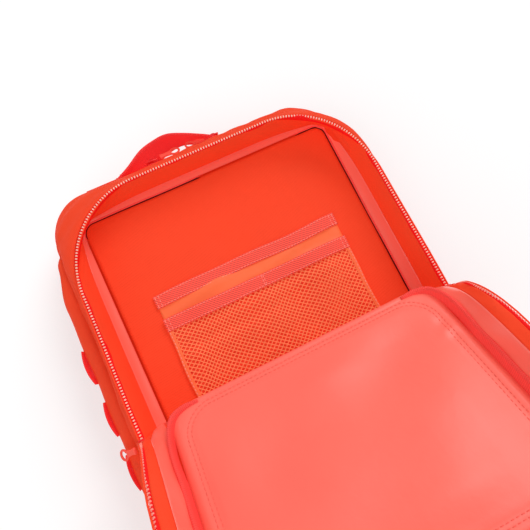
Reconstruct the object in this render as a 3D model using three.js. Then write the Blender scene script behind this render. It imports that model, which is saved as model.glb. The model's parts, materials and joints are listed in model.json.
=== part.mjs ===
// Trauma backpack, lying on its back with the upper half of the front cover folded open.
// Millimetres, +X across the pack, +Y towards its top edge, +Z from the harness to the front.
// The design frame has y = 0 at the top seam of the compartment and z = 0 on its floor;
// the finished group is then moved so that its origin is at the middle of its base.

import * as THREE from 'three';

// ---------- driving dimensions ----------
const FLOOR_HALF = 140;        // half width of the compartment floor
const FLOOR_LENGTH = 425;      // from its top seam to its bottom seam
const FLOOR_RADIUS = 12;
const RIM_FLARE = 20;          // how far the rim leans out past the floor at the sides
const RIM_FLARE_TOP = 13.5;    // and at the top and bottom
const RIM_RADIUS = 63;
const BACK_THICKNESS = 20;     // lining and stiffened foam under the floor
const GAP = 0.4;               // clearance between neighbouring pieces

const HINGE = { y: -210, z: 74 };            // fold line of the cover, on its outer face
const OPEN_ANGLE = THREE.MathUtils.degToRad(145.7);
const COVER_THICKNESS = 7.5;
const COVER_HALF = 128;
const COVER_TOP = 198;         // length of the upper cover from the fold
const COVER_RADIUS = 50;
const COVER_LOWER_END = -411.5;
const POCKET_HALF = 112;

const CHAIN_CENTRE = 160.5;    // half spacing of the two straight runs of zipper teeth
const CHAIN_SIDE_END = -236;   // where the open zipper becomes the closed one
const ARC_STEPS = 8;

const STRAP_TOP_Y = -18.5;
const STRAP_TOP_Z = -32.4;
const STRAP_THICKNESS = 13.6;

// ---------- colours ----------
const COLOURS = {
  orange: [0.86, 0.08, 0.03, 0.75],
  coral: [0.90, 0.16, 0.13, 0.45],
  red: [0.80, 0.03, 0.03, 0.7],
  tape: [0.62, 0.02, 0.02, 0.8],
  teeth: [0.88, 0.33, 0.25, 0.4],
  foam: [0.30, 0.05, 0.04, 0.95],
  plastic: [0.75, 0.03, 0.02, 0.4],
};

function material(name) {
  const [r, g, b, roughness] = COLOURS[name];
  return new THREE.MeshStandardMaterial({ color: new THREE.Color(r, g, b), roughness, metalness: 0 });
}

function piece(name, geometry, colour) {
  const mesh = new THREE.Mesh(geometry, material(colour));
  mesh.name = name;
  return mesh;
}

// ---------- outlines ----------
// Quarter circle from angle `from` (degrees), as [x, y] points.
function quarter(cx, cy, radius, from) {
  const points = [];
  for (let i = 0; i <= ARC_STEPS; i += 1) {
    const angle = THREE.MathUtils.degToRad(from + (90 * i) / ARC_STEPS);
    points.push([cx + radius * Math.cos(angle), cy + radius * Math.sin(angle)]);
  }
  return points;
}

// One edge line of the body's wall: half width, height, and the ends and corner that go with it.
function rimLevel(half, z, overrides = {}) {
  const lean = (half - FLOOR_HALF) / RIM_FLARE;
  const end = overrides.end ?? RIM_FLARE_TOP * lean;
  const radius = overrides.radius ?? FLOOR_RADIUS + (RIM_RADIUS - FLOOR_RADIUS) * lean;
  return { half, z, top: end, bottom: -FLOOR_LENGTH - end, radius };
}

// Closed loop round the whole pack.
function loopPath({ half, top, bottom, radius }) {
  return [
    ...quarter(half - radius, top - radius, radius, 0),
    ...quarter(-half + radius, top - radius, radius, 90),
    ...quarter(-half + radius, bottom + radius, radius, 180),
    ...quarter(half - radius, bottom + radius, radius, 270),
  ];
}

// Upside-down U over the top edge, starting at the heights in `starts` on both sides.
function upperPath({ half, top, radius }, starts) {
  return [
    ...starts.map((y) => [half, y]),
    ...quarter(half - radius, top - radius, radius, 0),
    ...quarter(-half + radius, top - radius, radius, 90),
    ...[...starts].reverse().map((y) => [-half, y]),
  ];
}

// U round the bottom edge.
function lowerPath({ half, bottom, radius }, start) {
  return [
    [-half, start],
    ...quarter(-half + radius, bottom + radius, radius, 180),
    ...quarter(half - radius, bottom + radius, radius, 270),
    [half, start],
  ];
}

// ---------- solids ----------
// Joins a ring of edge lines into one closed solid. edges[k][j] is the point of edge k at
// station j; an open run is closed with a flat cap at both ends.
function band(edges, closed) {
  const edgeCount = edges.length;
  const stations = edges[0].length;
  const positions = [];
  for (let j = 0; j < stations; j += 1) {
    for (let k = 0; k < edgeCount; k += 1) positions.push(...edges[k][j]);
  }
  const index = [];
  const runs = closed ? stations : stations - 1;
  for (let j = 0; j < runs; j += 1) {
    const next = (j + 1) % stations;
    for (let k = 0; k < edgeCount; k += 1) {
      const a = j * edgeCount + k;
      const b = j * edgeCount + ((k + 1) % edgeCount);
      const c = next * edgeCount + ((k + 1) % edgeCount);
      const d = next * edgeCount + k;
      index.push(a, b, c, a, c, d);
    }
  }
  if (!closed) {
    const outline = edges.map((edge) => new THREE.Vector2(Math.abs(edge[0][0]), edge[0][2]));
    const turn = Math.sign(THREE.ShapeUtils.area(outline));
    const last = (stations - 1) * edgeCount;
    for (const face of THREE.ShapeUtils.triangulateShape(outline, [])) {
      const sameTurn = Math.sign(THREE.ShapeUtils.area(face.map((i) => outline[i]))) === turn;
      const [a, b, c] = sameTurn ? face : [...face].reverse();
      index.push(a, c, b, last + a, last + b, last + c);
    }
  }
  return facingOut(positions, index);
}

function facingOut(positions, index) {
  const corner = (i) => new THREE.Vector3().fromArray(positions, 3 * i);
  let volume = 0;
  for (let i = 0; i < index.length; i += 3) {
    volume += corner(index[i]).dot(corner(index[i + 1]).cross(corner(index[i + 2])));
  }
  const ordered = volume > 0 ? index : [...index].reverse();
  const geometry = new THREE.BufferGeometry();
  geometry.setAttribute('position', new THREE.Float32BufferAttribute(positions, 3));
  geometry.setIndex(ordered);
  geometry.computeVertexNormals();
  return geometry;
}

const atHeight = (path, z) => path.map(([x, y]) => [x, y, z]);

function bodyRing(levels) {
  return band(levels.map((level) => atHeight(loopPath(level), level.z)), true);
}

function bodyUpper(levels, starts) {
  return band(levels.map((level) => atHeight(upperPath(level, starts), level.z)), false);
}

function bodyLower(levels, start) {
  return band(levels.map((level) => atHeight(lowerPath(level, start), level.z)), false);
}

function outlineShape(points) {
  return new THREE.Shape(points.map(([x, y]) => new THREE.Vector2(x, y)));
}

// A flat slab: an outline in the XY plane between two heights.
function slab(points, low, high) {
  const geometry = new THREE.ExtrudeGeometry(outlineShape(points), { depth: high - low, bevelEnabled: false });
  geometry.translate(0, 0, low);
  return geometry;
}

// A slab whose outline is in the YZ plane, running from -half to half in X.
function crosswise(points, half) {
  const geometry = new THREE.ExtrudeGeometry(outlineShape(points), { depth: 2 * half, bevelEnabled: false });
  geometry.applyMatrix4(new THREE.Matrix4().makeBasis(
    new THREE.Vector3(0, 1, 0), new THREE.Vector3(0, 0, 1), new THREE.Vector3(1, 0, 0)));
  geometry.translate(-half, 0, 0);
  return geometry;
}

function block(x, y, z, cx, cy, cz) {
  return new THREE.BoxGeometry(x, y, z).translate(cx, cy, cz);
}

// ---------- the back of the pack ----------
function roundedRect(half, bottom, top, radius) {
  return loopPath({ half, top, bottom, radius });
}

function backPanel() {
  const half = FLOOR_HALF - 0.3;
  const outline = roundedRect(half, -FLOOR_LENGTH + 0.3, -0.3, FLOOR_RADIUS - 0.3);
  return [
    piece('back_lining', slab(outline, -2, 0), 'orange'),
    piece('back_foam', slab(outline, -BACK_THICKNESS, -2 - GAP), 'foam'),
  ];
}

function backPads() {
  const low = STRAP_TOP_Z + GAP;
  const high = -BACK_THICKNESS - GAP;
  const pads = [-1, 1].map((side) => {
    const outline = roundedRect(46, -335, -52, 22).map(([x, y]) => [x + side * 76, y]);
    return piece(side < 0 ? 'back_pad_left' : 'back_pad_right', slab(outline, low, high), 'foam');
  });
  const lumbar = slab(roundedRect(92, -418, -350, 18), STRAP_TOP_Z - STRAP_THICKNESS, high);
  return [...pads, piece('lumbar_pad', lumbar, 'foam')];
}

// ---------- walls, lining and zipper of the body ----------
const OUTER_EDGES = [
  rimLevel(140.3, -BACK_THICKNESS),
  rimLevel(140.3, -0.2),
  rimLevel(142.9, 0.2),
  rimLevel(148.2, 19.2),
  rimLevel(157.0, 28.8),
  rimLevel(162.8, 34.6),
  rimLevel(165.3, 34.0, { end: 17.5, radius: 58 }),
  rimLevel(168.5, 25.0, { end: 22.5, radius: 47 }),
  rimLevel(172.0, 8.0, { end: 29, radius: 36 }),
  rimLevel(172.0, -12.0, { end: 29, radius: 36 }),
  rimLevel(167.0, -BACK_THICKNESS, { end: 24, radius: 32 }),
];

function bodyWalls() {
  const lining = [rimLevel(140.6, 0.5), rimLevel(146, 19.6), rimLevel(147.5, 19.2), rimLevel(142.2, 0.5)];
  const strip = [rimLevel(146.2, 20.2), rimLevel(155, 30.4), rimLevel(156.2, 29.2), rimLevel(147.9, 20.0)];
  const binding = [rimLevel(135.6, 0.5), rimLevel(138.2, 4.6), rimLevel(140.4, 4.4), rimLevel(139.6, 0.5)];
  return [
    piece('side_shell', bodyRing(OUTER_EDGES), 'orange'),
    piece('gusset_lining', bodyRing(lining), 'coral'),
    piece('gusset_strip', bodyRing(strip), 'orange'),
    piece('floor_binding', bodyRing(binding), 'coral'),
  ];
}

function bodyZipper() {
  const tape = [
    rimLevel(155.5, 31.2), rimLevel(158.4, 37.0), rimLevel(164.8, 37.6),
    rimLevel(164.9, 36.4), rimLevel(159.4, 35.8), rimLevel(156.7, 30.4),
  ];
  const chain = [
    rimLevel(CHAIN_CENTRE - 1.6, 37.9), rimLevel(CHAIN_CENTRE - 1.6, 40.2),
    rimLevel(CHAIN_CENTRE + 1.6, 40.2), rimLevel(CHAIN_CENTRE + 1.6, 38.0),
  ];
  const closed = [
    rimLevel(157.5, 36.2), rimLevel(157.5, 38.8), rimLevel(164.5, 38.8), rimLevel(164.5, 36.2),
  ];
  return [
    piece('zipper_tape', bodyUpper(tape, [CHAIN_SIDE_END]), 'tape'),
    piece('zipper_chain', bodyUpper(chain, [CHAIN_SIDE_END]), 'teeth'),
    piece('closed_zipper', bodyLower(closed, CHAIN_SIDE_END - GAP), 'tape'),
  ];
}

// ---------- pockets on the compartment floor ----------
function innerPockets() {
  const half = 104;
  const low = -395;
  const sheet = (top, bottomZ, topZ) => slab(roundedRect(half, low, top, 4), bottomZ, topZ);
  const tape = (centre, bottomZ, topZ) => slab(roundedRect(half + 1, centre - 7, centre + 7, 1), bottomZ, topZ);
  return [
    piece('rear_pocket', sheet(-112, GAP, 2), 'orange'),
    piece('rear_pocket_tape', tape(-104.5, GAP, 3.2), 'coral'),
    piece('mesh_pocket', sheet(-138.5, 2 + GAP, 4), 'orange'),
    piece('mesh_pocket_tape', tape(-131, 2 + GAP, 5), 'coral'),
  ];
}

// ---------- closed lower half of the front ----------
function lowerCover() {
  const top = HINGE.y - 2;
  const edge = { half: COVER_HALF + 1.6, bottom: COVER_LOWER_END, radius: 39.6 };
  const panel = slab(lowerPath(edge, top), HINGE.z - COVER_THICKNESS, HINGE.z);
  const shoulder = [
    { half: 158.5, z: 39.3, bottom: -437, radius: 62 },
    { half: 163, z: 39.3, bottom: -441, radius: 66 },
    { half: 159.5, z: 54, bottom: -438, radius: 62 },
    { half: 148, z: 67.5, bottom: -428, radius: 52 },
    { half: 130, z: 74, bottom: -412, radius: 40 },
    { half: 130, z: 66.5, bottom: -412, radius: 40 },
    { half: 145, z: 61, bottom: -425, radius: 49 },
    { half: 155, z: 51, bottom: -434, radius: 58 },
  ];
  return [
    piece('lower_cover', panel, 'orange'),
    piece('lower_cover_gusset', bodyLower(shoulder, CHAIN_SIDE_END - GAP), 'orange'),
  ];
}

const LOWER_POCKET_PROFILE = [
  [-226, 74.4], [-410, 74.4], [-410, 110], [-392, 126], [-350, 130], [-300, 103], [-262, 86], [-226, 80],
];

const LOWER_ZIP = { y: -256, z: 85 + GAP, slope: Math.atan2(6, -36) - Math.PI, sliderX: -70 };
function lowerPocket() {
  const zip = block(190, 9, 1.4, 0, 0, 0.7);
  const zipMesh = piece('lower_pocket_zip', zip, 'tape');
  zipMesh.position.set(0, LOWER_ZIP.y, LOWER_ZIP.z);
  zipMesh.rotation.x = LOWER_ZIP.slope;
  const slider = pocketSlider('lower_pocket_slider');
  slider.position.set(LOWER_ZIP.sliderX, LOWER_ZIP.y, LOWER_ZIP.z);
  slider.rotation.x = LOWER_ZIP.slope;
  return [piece('lower_pocket', crosswise(LOWER_POCKET_PROFILE, POCKET_HALF), 'orange'), zipMesh, slider];
}

// ---------- zipper sliders and pulls ----------
function pocketSlider(name) {
  return piece(name, block(12, 7, 3, 0, 0, 1.4 + GAP + 1.5), 'plastic');
}

// A flat pull with an eye at its end, lying along +X from its pivot.
function pullGeometry(length) {
  const eye = 5.5;
  const shape = new THREE.Shape();
  shape.moveTo(0, -2.5);
  shape.lineTo(length - 2 * eye + 0.6, -2.5);
  shape.absarc(length - eye, 0, eye, Math.PI + 0.47, Math.PI - 0.47, false);
  shape.lineTo(0, 2.5);
  shape.closePath();
  shape.holes.push(new THREE.Path().absarc(length - eye, 0, 3.1, 0, 2 * Math.PI, true));
  const geometry = new THREE.ExtrudeGeometry(shape, { depth: 2, bevelEnabled: false, curveSegments: 10 });
  return geometry.translate(0, 0, -1);
}

// The main sliders straddle the teeth; each has a pull that hangs down the outer wall.
const MAIN_SLIDER_Y = -224;
const PULL_LEAN = { left: 0.82, right: 0.25 };   // from vertical: the left pull lies on the side pocket
function mainSlider(side) {
  const name = side < 0 ? 'left' : 'right';
  const saddle = [[-4.4, 38], [-2.1, 38], [-2.1, 40.7], [2.1, 40.7], [2.1, 38], [4.4, 38], [4.4, 43], [-4.4, 43]];
  const slider = new THREE.ExtrudeGeometry(outlineShape(saddle), { depth: 14, bevelEnabled: false });
  slider.rotateX(Math.PI / 2);
  slider.translate(side * CHAIN_CENTRE, MAIN_SLIDER_Y + 7, 0);
  const pull = piece(`main_pull_${name}`, pullGeometry(27), 'plastic');
  pull.position.set(side * (CHAIN_CENTRE + 7), MAIN_SLIDER_Y, 38.5);
  pull.rotation.set(0, Math.PI / 2 - side * PULL_LEAN[name], 0);
  return [piece(`main_slider_${name}`, slider, 'plastic'), pull];
}

// Zipper of the rear compartment, along the top wall, with its two sliders and pulls.
const REAR_ZIP = { y: 29 + GAP, z: 4, half: 120 };
const REAR_SLIDERS = [['left', -46, 1], ['right', 25, -1]];
function rearZipper() {
  const pieces = [
    piece('rear_zip_track', block(2 * REAR_ZIP.half, 1.6, 9, 0, REAR_ZIP.y + 0.8, REAR_ZIP.z), 'tape'),
  ];
  for (const [name, x, direction] of REAR_SLIDERS) {
    const y = REAR_ZIP.y + 1.6 + GAP;
    pieces.push(piece(`rear_slider_${name}`, block(11, 3, 7, x, y + 1.5, REAR_ZIP.z), 'plastic'));
    const pull = piece(`rear_pull_${name}`, pullGeometry(26), 'plastic');
    pull.position.set(x + direction * 6.5, y + 1.6, REAR_ZIP.z);
    pull.rotation.set(Math.PI / 2, direction < 0 ? Math.PI : 0, 0);
    pieces.push(pull);
  }
  return pieces;
}

// ---------- grab handle ----------
// A flat webbing arch in the XY plane above the rear zipper.
const HANDLE = { left: -84, right: 62, y: 27.5, z: 17, reach: 24, width: 15, thickness: 3.5 };
function handleArch(offset) {
  const middle = (HANDLE.left + HANDLE.right) / 2;
  const half = (HANDLE.right - HANDLE.left) / 2 - offset;
  const points = [];
  for (let i = 0; i <= 20; i += 1) {
    const angle = Math.PI * (1 - i / 20);
    const squareness = 0.75;
    const x = Math.sign(Math.cos(angle)) * Math.abs(Math.cos(angle)) ** squareness;
    points.push([middle + half * x, HANDLE.y + (HANDLE.reach - offset) * Math.sin(angle) ** squareness]);
  }
  return points;
}

function grabHandle() {
  const outline = [...handleArch(0), ...handleArch(HANDLE.width).reverse()];
  const arch = slab(outline, HANDLE.z - HANDLE.thickness / 2, HANDLE.z + HANDLE.thickness / 2);
  return [piece('grab_handle', arch, 'red')];
}

// ---------- webbing on the side walls ----------
const SIDE_POCKET = { top: -38, bottom: -404, inner: 172.4, outer: 184 };
const WEBBING_ROWS = 4;
const WEBBING_PITCH = 53;
function sidePanels() {
  const { top, bottom, inner, outer } = SIDE_POCKET;
  const leftPocket = slab([
    [-inner, bottom], [-inner, top], [-inner - 4, top], [-outer, top - 80], [-outer, bottom + 20], [-inner - 4, bottom],
  ].reverse(), -12, 20);
  // The wall leans in above z = 8, so the pocket stands just clear of it all the way up.
  const pieces = [piece('side_pocket_left', leftPocket, 'orange')];
  for (let row = 0; row < WEBBING_ROWS; row += 1) {
    const y = -136.5 - row * WEBBING_PITCH;
    pieces.push(piece(`webbing_left_${row + 1}`, block(3, 34, 26, -outer - 1.9, y, 4), 'red'));
    pieces.push(piece(`webbing_right_${row + 1}`, block(2.4, 25, 18, inner + 1.2, y, -2), 'red'));
  }
  return pieces;
}

// ---------- shoulder harness ----------
function strapOutline(side) {
  const spine = new THREE.CubicBezierCurve(
    new THREE.Vector2(50, STRAP_TOP_Y - 1), new THREE.Vector2(52, -110),
    new THREE.Vector2(100, -150), new THREE.Vector2(100, -300));
  const inner = [];
  const outer = [];
  for (let i = 0; i <= 10; i += 1) {
    const t = i / 10;
    const point = spine.getPoint(t);
    const halfWidth = 32 - 7 * t;
    inner.push([side * (point.x - halfWidth), point.y]);
    outer.push([side * (point.x + halfWidth), point.y]);
  }
  return [...inner, ...outer.reverse()];
}

function harness(side) {
  const name = side < 0 ? 'left' : 'right';
  const low = STRAP_TOP_Z - STRAP_THICKNESS;
  const angle = side * 0.24;
  const webbing = piece(`strap_webbing_${name}`, block(25, 54.5, 2, 0, -29.15, 0), 'red');
  webbing.position.set(side * 102, -325, -37);
  webbing.rotation.z = angle;
  const sternum = [[4, -120], [22, -120], [22, -117], [39, -117], [39, -105], [22, -105], [22, -102], [4, -102]]
    .map(([x, y]) => [side * (x - 3.7), y]);
  return [
    piece(`shoulder_strap_${name}`, slab(strapOutline(side), low, STRAP_TOP_Z), 'coral'),
    piece(`ladder_lock_${name}`, block(32, 20, 9, side * 101, -311.5, -37.5), 'plastic'),
    webbing,
    piece(`strap_clip_${name}`, block(30, 22, 9, side * 118, -395, -37), 'plastic'),
    piece(`clip_anchor_${name}`, block(34, 26, 13.6, side * 118, -419.6, -BACK_THICKNESS - GAP - 6.8), 'plastic'),
    piece(`sternum_strap_${name}`, slab(sternum, -42, -37), 'red'),
  ];
}

// ---------- upper cover, built closed with its fold line on the X axis ----------
function coverLevel(half, z) {
  const grow = half - COVER_HALF;
  return { half, z, top: COVER_TOP + grow, radius: COVER_RADIUS + 0.8 * grow };
}

// Its gusset grows from almost nothing at the fold to its full depth.
const GUSSET_STARTS = [14, 30, 48];
function coverBand(levels) {
  const edges = levels.map((level) => upperPath(level, GUSSET_STARTS).map(([x, y]) => {
    const growth = THREE.MathUtils.clamp((y - 4) / 42, 0.2, 1);
    const depth = (level.z + COVER_THICKNESS) * growth;
    return [x, y, -COVER_THICKNESS + depth];
  }));
  return band(edges, false);
}

function upperCover() {
  const panelEdge = { half: COVER_HALF, top: COVER_TOP, radius: COVER_RADIUS };
  const panel = slab(upperPath(panelEdge, [2]), -COVER_THICKNESS, -0.4);
  const lining = [coverLevel(128.5, -6.9), coverLevel(132.8, -27.2), coverLevel(134.6, -26.8), coverLevel(130.8, -5.5)];
  const strip = [coverLevel(133.2, -27.9), coverLevel(142.6, -34.4), coverLevel(143.6, -33), coverLevel(135, -27.3)];
  const zipper = [coverLevel(143.1, -35), coverLevel(148.6, -36.6), coverLevel(149.2, -34.4), coverLevel(144.2, -33.4)];
  const binding = [coverLevel(123.5, -7.9), coverLevel(125.6, -16.2), coverLevel(127.4, -15.8), coverLevel(126.6, -7.9)];
  const pocket = [[26, 0], [26, 5], [185, 39], [190, 34], [190, 0]].reverse();
  const zip = piece('cover_pocket_zip', block(180, 1.4, 9, 0, 190 + GAP + 0.7, 24), 'tape');
  const slider = pocketSlider('cover_pocket_slider');
  slider.rotation.x = -Math.PI / 2;
  slider.position.set(60, 190 + GAP, 24);
  const cover = new THREE.Group();
  cover.add(
    piece('cover_panel', panel, 'coral'),
    piece('cover_gusset', coverBand(lining), 'coral'),
    piece('cover_strip', coverBand(strip), 'orange'),
    piece('cover_zipper', coverBand(zipper), 'tape'),
    piece('cover_binding', coverBand(binding), 'red'),
    piece('cover_pocket', crosswise(pocket, POCKET_HALF - 4), 'orange'),
    zip,
    slider,
  );
  cover.position.set(0, HINGE.y, HINGE.z);
  cover.rotation.x = OPEN_ANGLE;
  return cover;
}

// ---------- assembly ----------
function centreOnBase(group) {
  const box = new THREE.Box3().setFromObject(group, true);
  const middle = box.getCenter(new THREE.Vector3());
  group.position.set(-middle.x, -middle.y, -box.min.z);
  return group;
}

function buildPack() {
  const pack = new THREE.Group();
  pack.add(
    ...backPanel(), ...backPads(), ...bodyWalls(), ...bodyZipper(), ...innerPockets(),
    ...lowerCover(), ...lowerPocket(), ...mainSlider(-1), ...mainSlider(1), ...rearZipper(),
    ...grabHandle(), ...sidePanels(), ...harness(-1), ...harness(1), upperCover(),
  );
  return centreOnBase(pack);
}

export default buildPack();
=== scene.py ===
"""Trauma backpack lying open on its back: cloth, seams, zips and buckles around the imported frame.

Lengths are in millimetres from the seam origin, which is the middle of the top edge of the
compartment floor, with +Y towards the handle and +Z out of the compartment.
"""

import json
import logging
import math
from dataclasses import dataclass
from enum import Enum
from typing import Callable, Sequence

import bmesh
import bpy
import numpy as np
from mathutils import Matrix, Vector


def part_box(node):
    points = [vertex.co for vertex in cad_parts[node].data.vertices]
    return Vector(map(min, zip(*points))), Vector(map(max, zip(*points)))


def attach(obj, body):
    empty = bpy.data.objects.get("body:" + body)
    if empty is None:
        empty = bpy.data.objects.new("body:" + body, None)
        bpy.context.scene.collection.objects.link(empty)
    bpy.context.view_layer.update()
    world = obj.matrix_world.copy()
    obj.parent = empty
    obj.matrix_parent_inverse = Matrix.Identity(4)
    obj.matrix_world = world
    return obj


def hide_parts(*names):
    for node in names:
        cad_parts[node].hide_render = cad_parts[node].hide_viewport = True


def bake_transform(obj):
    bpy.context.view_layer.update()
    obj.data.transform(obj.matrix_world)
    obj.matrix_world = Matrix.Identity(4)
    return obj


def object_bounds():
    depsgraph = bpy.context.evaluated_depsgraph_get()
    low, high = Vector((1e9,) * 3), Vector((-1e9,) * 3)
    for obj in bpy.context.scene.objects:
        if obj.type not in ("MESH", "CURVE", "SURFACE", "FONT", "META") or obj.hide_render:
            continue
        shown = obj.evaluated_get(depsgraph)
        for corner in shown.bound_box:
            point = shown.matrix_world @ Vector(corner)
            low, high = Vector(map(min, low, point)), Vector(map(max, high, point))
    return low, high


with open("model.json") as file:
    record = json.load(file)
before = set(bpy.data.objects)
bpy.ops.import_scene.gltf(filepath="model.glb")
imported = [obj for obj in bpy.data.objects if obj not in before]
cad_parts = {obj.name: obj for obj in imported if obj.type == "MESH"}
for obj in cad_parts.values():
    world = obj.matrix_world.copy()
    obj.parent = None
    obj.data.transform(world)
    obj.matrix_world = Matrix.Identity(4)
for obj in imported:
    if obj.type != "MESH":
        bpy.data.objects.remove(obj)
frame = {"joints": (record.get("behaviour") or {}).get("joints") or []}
CAD_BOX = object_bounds()

LOG = logging.getLogger("backpack")
METRES = 0.001  # in a millimetre
PLAY = 0.3  # from the floor lining's edge to the seam
ZIP_PITCH = 2.85  # from tooth to tooth on one side of the main zip
PAINTED_GLOW = 0.33  # painted light: how strongly every cloth glows in its own colour, which lightens its shade
SETTLED = 18  # frames until a pad is full
Array = np.ndarray
Mesh = bpy.types.Mesh
Thing = bpy.types.Object
Point = Sequence[float]
Triple = tuple[float, float, float]
Colour = Triple
UP: Array = np.array([0, 0, 1.0])


class Body(str, Enum):
    """The bodies that pieces ride on by a fixed name."""

    PACK = "pack"
    COVER = "cover"


class Slot(str, Enum):
    """The record's material slots."""

    WEAVE = "orange_weave"
    NET = "orange_mesh"
    COATING = "coral_coating"
    TAPE = "coral_tape"
    WEBBING = "red_webbing"
    ZIP_TAPE = "zipper_tape"
    TEETH = "zipper_teeth"
    PADDING = "padding"
    HARDWARE = "hardware"


# ---- where things are


class Datum:
    """The seam origin and the cover's fold, read from the frame."""

    def __init__(self) -> None:
        """Takes the origin from the floor lining's box and the fold from its joint."""
        low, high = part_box("back_lining")
        self.origin = np.array([(low.x + high.x) / 2, high.y + PLAY * METRES, high.z])
        joint = next(j for j in frame["joints"] if j["name"] == "cover_fold")
        self.open_angle = -math.radians(joint["range_deg"][0])
        self.fold = np.array([0.0, -210.0, 74.0])

    def metres(self, points: Array) -> Array:
        """Row-frame metres of points in millimetres from the seam origin."""
        return np.asarray(points, float) * METRES + self.origin

    def place(self, x: float, y: float, z: float) -> Vector:
        """Row-frame metres of one point."""
        return Vector(self.metres([x, y, z]))

    def matrix(self) -> Matrix:
        """The matrix from millimetres at the seam origin to the row frame."""
        return Matrix.Translation(Vector(self.origin)) @ Matrix.Scale(METRES, 4)

    def opened(self, points: Array) -> Array:
        """Turns points of the closed cover to where it lies open.

        Args:
            points: x, the distance from the fold, and z, which is 0 on the outer face and
                negative towards the compartment when the cover is closed.
        Returns:
            The points in millimetres from the seam origin.
        """
        x, v, z = np.moveaxis(np.asarray(points, float), -1, 0)
        c, s = math.cos(self.open_angle), math.sin(self.open_angle)
        return np.stack([x, v * c - z * s, v * s + z * c], -1) + self.fold


DATUM = Datum()


# ---- shapes


def unit(vectors: Array) -> Array:
    """The vectors at length 1."""
    return vectors / np.maximum(np.linalg.norm(vectors, axis=-1, keepdims=True), 1e-9)


def smooth_step(value: Array, start: float, end: float) -> Array:
    """0 before start, 1 after end, and smooth between them."""
    t = np.clip((np.asarray(value, float) - start) / (end - start), 0, 1)
    return t * t * (3 - 2 * t)


def curve_through(points: Sequence[Point], count: int) -> Array:
    """A smooth curve through a few points.

    Args:
        points: The points that the curve passes.
        count: How many evenly spaced samples to return.
    Returns:
        An array of count points.
    """
    knots = np.asarray(points, float)
    padded = np.vstack([2 * knots[0] - knots[1], knots, 2 * knots[-1] - knots[-2]])
    samples = []
    for i in range(len(knots) - 1):
        a, b, c, d = padded[i : i + 4]
        t = np.linspace(0, 1, 24, endpoint=False)[:, None]
        cubic = (2 * b + (c - a) * t + (2 * a - 5 * b + 4 * c - d) * t**2
                 + (3 * b - a - 3 * c + d) * t**3) / 2
        samples.append(cubic)
    return spaced(np.vstack([*samples, knots[-1:]]), count)


def spaced(path: Array, count: int) -> Array:
    """The path again with count evenly spaced points."""
    steps = np.linalg.norm(np.diff(path, axis=0), axis=1)
    along = np.concatenate([[0], np.cumsum(steps)])
    at = np.linspace(0, along[-1], count)
    return np.stack([np.interp(at, along, path[:, k]) for k in range(path.shape[1])], 1)


def filleted(corners: Sequence[Triple], counts: Sequence[int],
             arc: int, closed: bool = True) -> Array:
    """Points along a polygon with rounded corners.

    Args:
        corners: x, y and radius of each corner, in order.
        counts: Steps on the straight after each corner.
        arc: Steps round each rounded corner.
        closed: Whether the last corner leads back to the first.
    Returns:
        The points in order, the first not repeated.
    """
    places = [np.array(c[:2], float) for c in corners]
    last = len(corners) - 1
    turns = []
    for i, (here, corner) in enumerate(zip(places, corners)):
        radius = corner[2]
        if radius <= 0 or (not closed and i in (0, last)):
            turns.append(here[None])
            continue
        back = unit(places[i - 1] - here)
        ahead = unit(places[(i + 1) % (last + 1)] - here)
        half_angle = math.acos(float(np.clip(back @ ahead, -1, 1))) / 2
        centre = here + unit(back + ahead) * radius / math.sin(half_angle)
        first = here + back * radius / math.tan(half_angle) - centre
        final = here + ahead * radius / math.tan(half_angle) - centre
        sweep = math.pi - 2 * half_angle
        t = np.linspace(0, 1, arc + 1)[:, None]
        turns.append(centre + (np.sin((1 - t) * sweep) * first + np.sin(t * sweep) * final)
                     / math.sin(sweep))
    points = []
    for i, turn in enumerate(turns):
        points.append(turn)
        if closed or i < last:
            start, end = turn[-1], turns[(i + 1) % (last + 1)][0]
            t = np.linspace(0, 1, counts[i] + 1)[1:-1, None]
            points.append(start + (end - start) * t)
    return np.vstack(points)


@dataclass(frozen=True)
class RoundedBox:
    """A rectangle in plan with its own corner radius at each end of Y."""

    half: float
    low: float
    high: float
    low_radius: float
    high_radius: float

    def distance(self, x: Array, y: Array) -> Array:
        """The distance outside the outline, negative inside it."""
        middle = (self.low + self.high) / 2
        radius = np.where(y > middle, self.high_radius, self.low_radius)
        dx = np.abs(x) - self.half + radius
        dy = np.abs(y - middle) - (self.high - self.low) / 2 + radius
        outside = np.hypot(np.maximum(dx, 0), np.maximum(dy, 0))
        return outside + np.minimum(np.maximum(dx, dy), 0) - radius

    def grid(self, step: float) -> tuple[Array, Array]:
        """Plan points in rows along Y that fill the outline, its corners drawn in.

        Args:
            step: The side of one cell.
        Returns:
            x and y arrays, rows by columns.
        """
        across = max(2, round(2 * self.half / step))
        along = max(2, round((self.high - self.low) / step))
        x, y = np.meshgrid(np.linspace(-self.half, self.half, across + 1),
                           np.linspace(self.low, self.high, along + 1))
        for radius, end, sign in ((self.high_radius, self.high, 1), (self.low_radius, self.low, -1)):
            if radius <= 0:
                continue
            dx = np.abs(x) - (self.half - radius)
            dy = sign * (y - end) + radius
            inside = (dx > 0) & (dy > 0)
            scale = np.where(inside, np.maximum(dx, dy) / np.maximum(np.hypot(dx, dy), 1e-9), 1)
            x = np.where(inside, np.sign(x) * (self.half - radius + dx * scale), x)
            y = np.where(inside, end + sign * (dy * scale - radius), y)
        return x, y

    def outline(self, step: float = 3.0) -> Array:
        """The outline as evenly spaced plan points, anticlockwise."""
        corners = [(self.half, self.low, self.low_radius), (self.half, self.high, self.high_radius),
                   (-self.half, self.high, self.high_radius), (-self.half, self.low, self.low_radius)]
        rough = filleted(corners, [40] * 4, 16)
        rough = np.vstack([rough, rough[:1]])
        length = np.linalg.norm(np.diff(rough, axis=0), axis=1).sum()
        return spaced(rough, round(length / step) + 1)[:-1]


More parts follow.
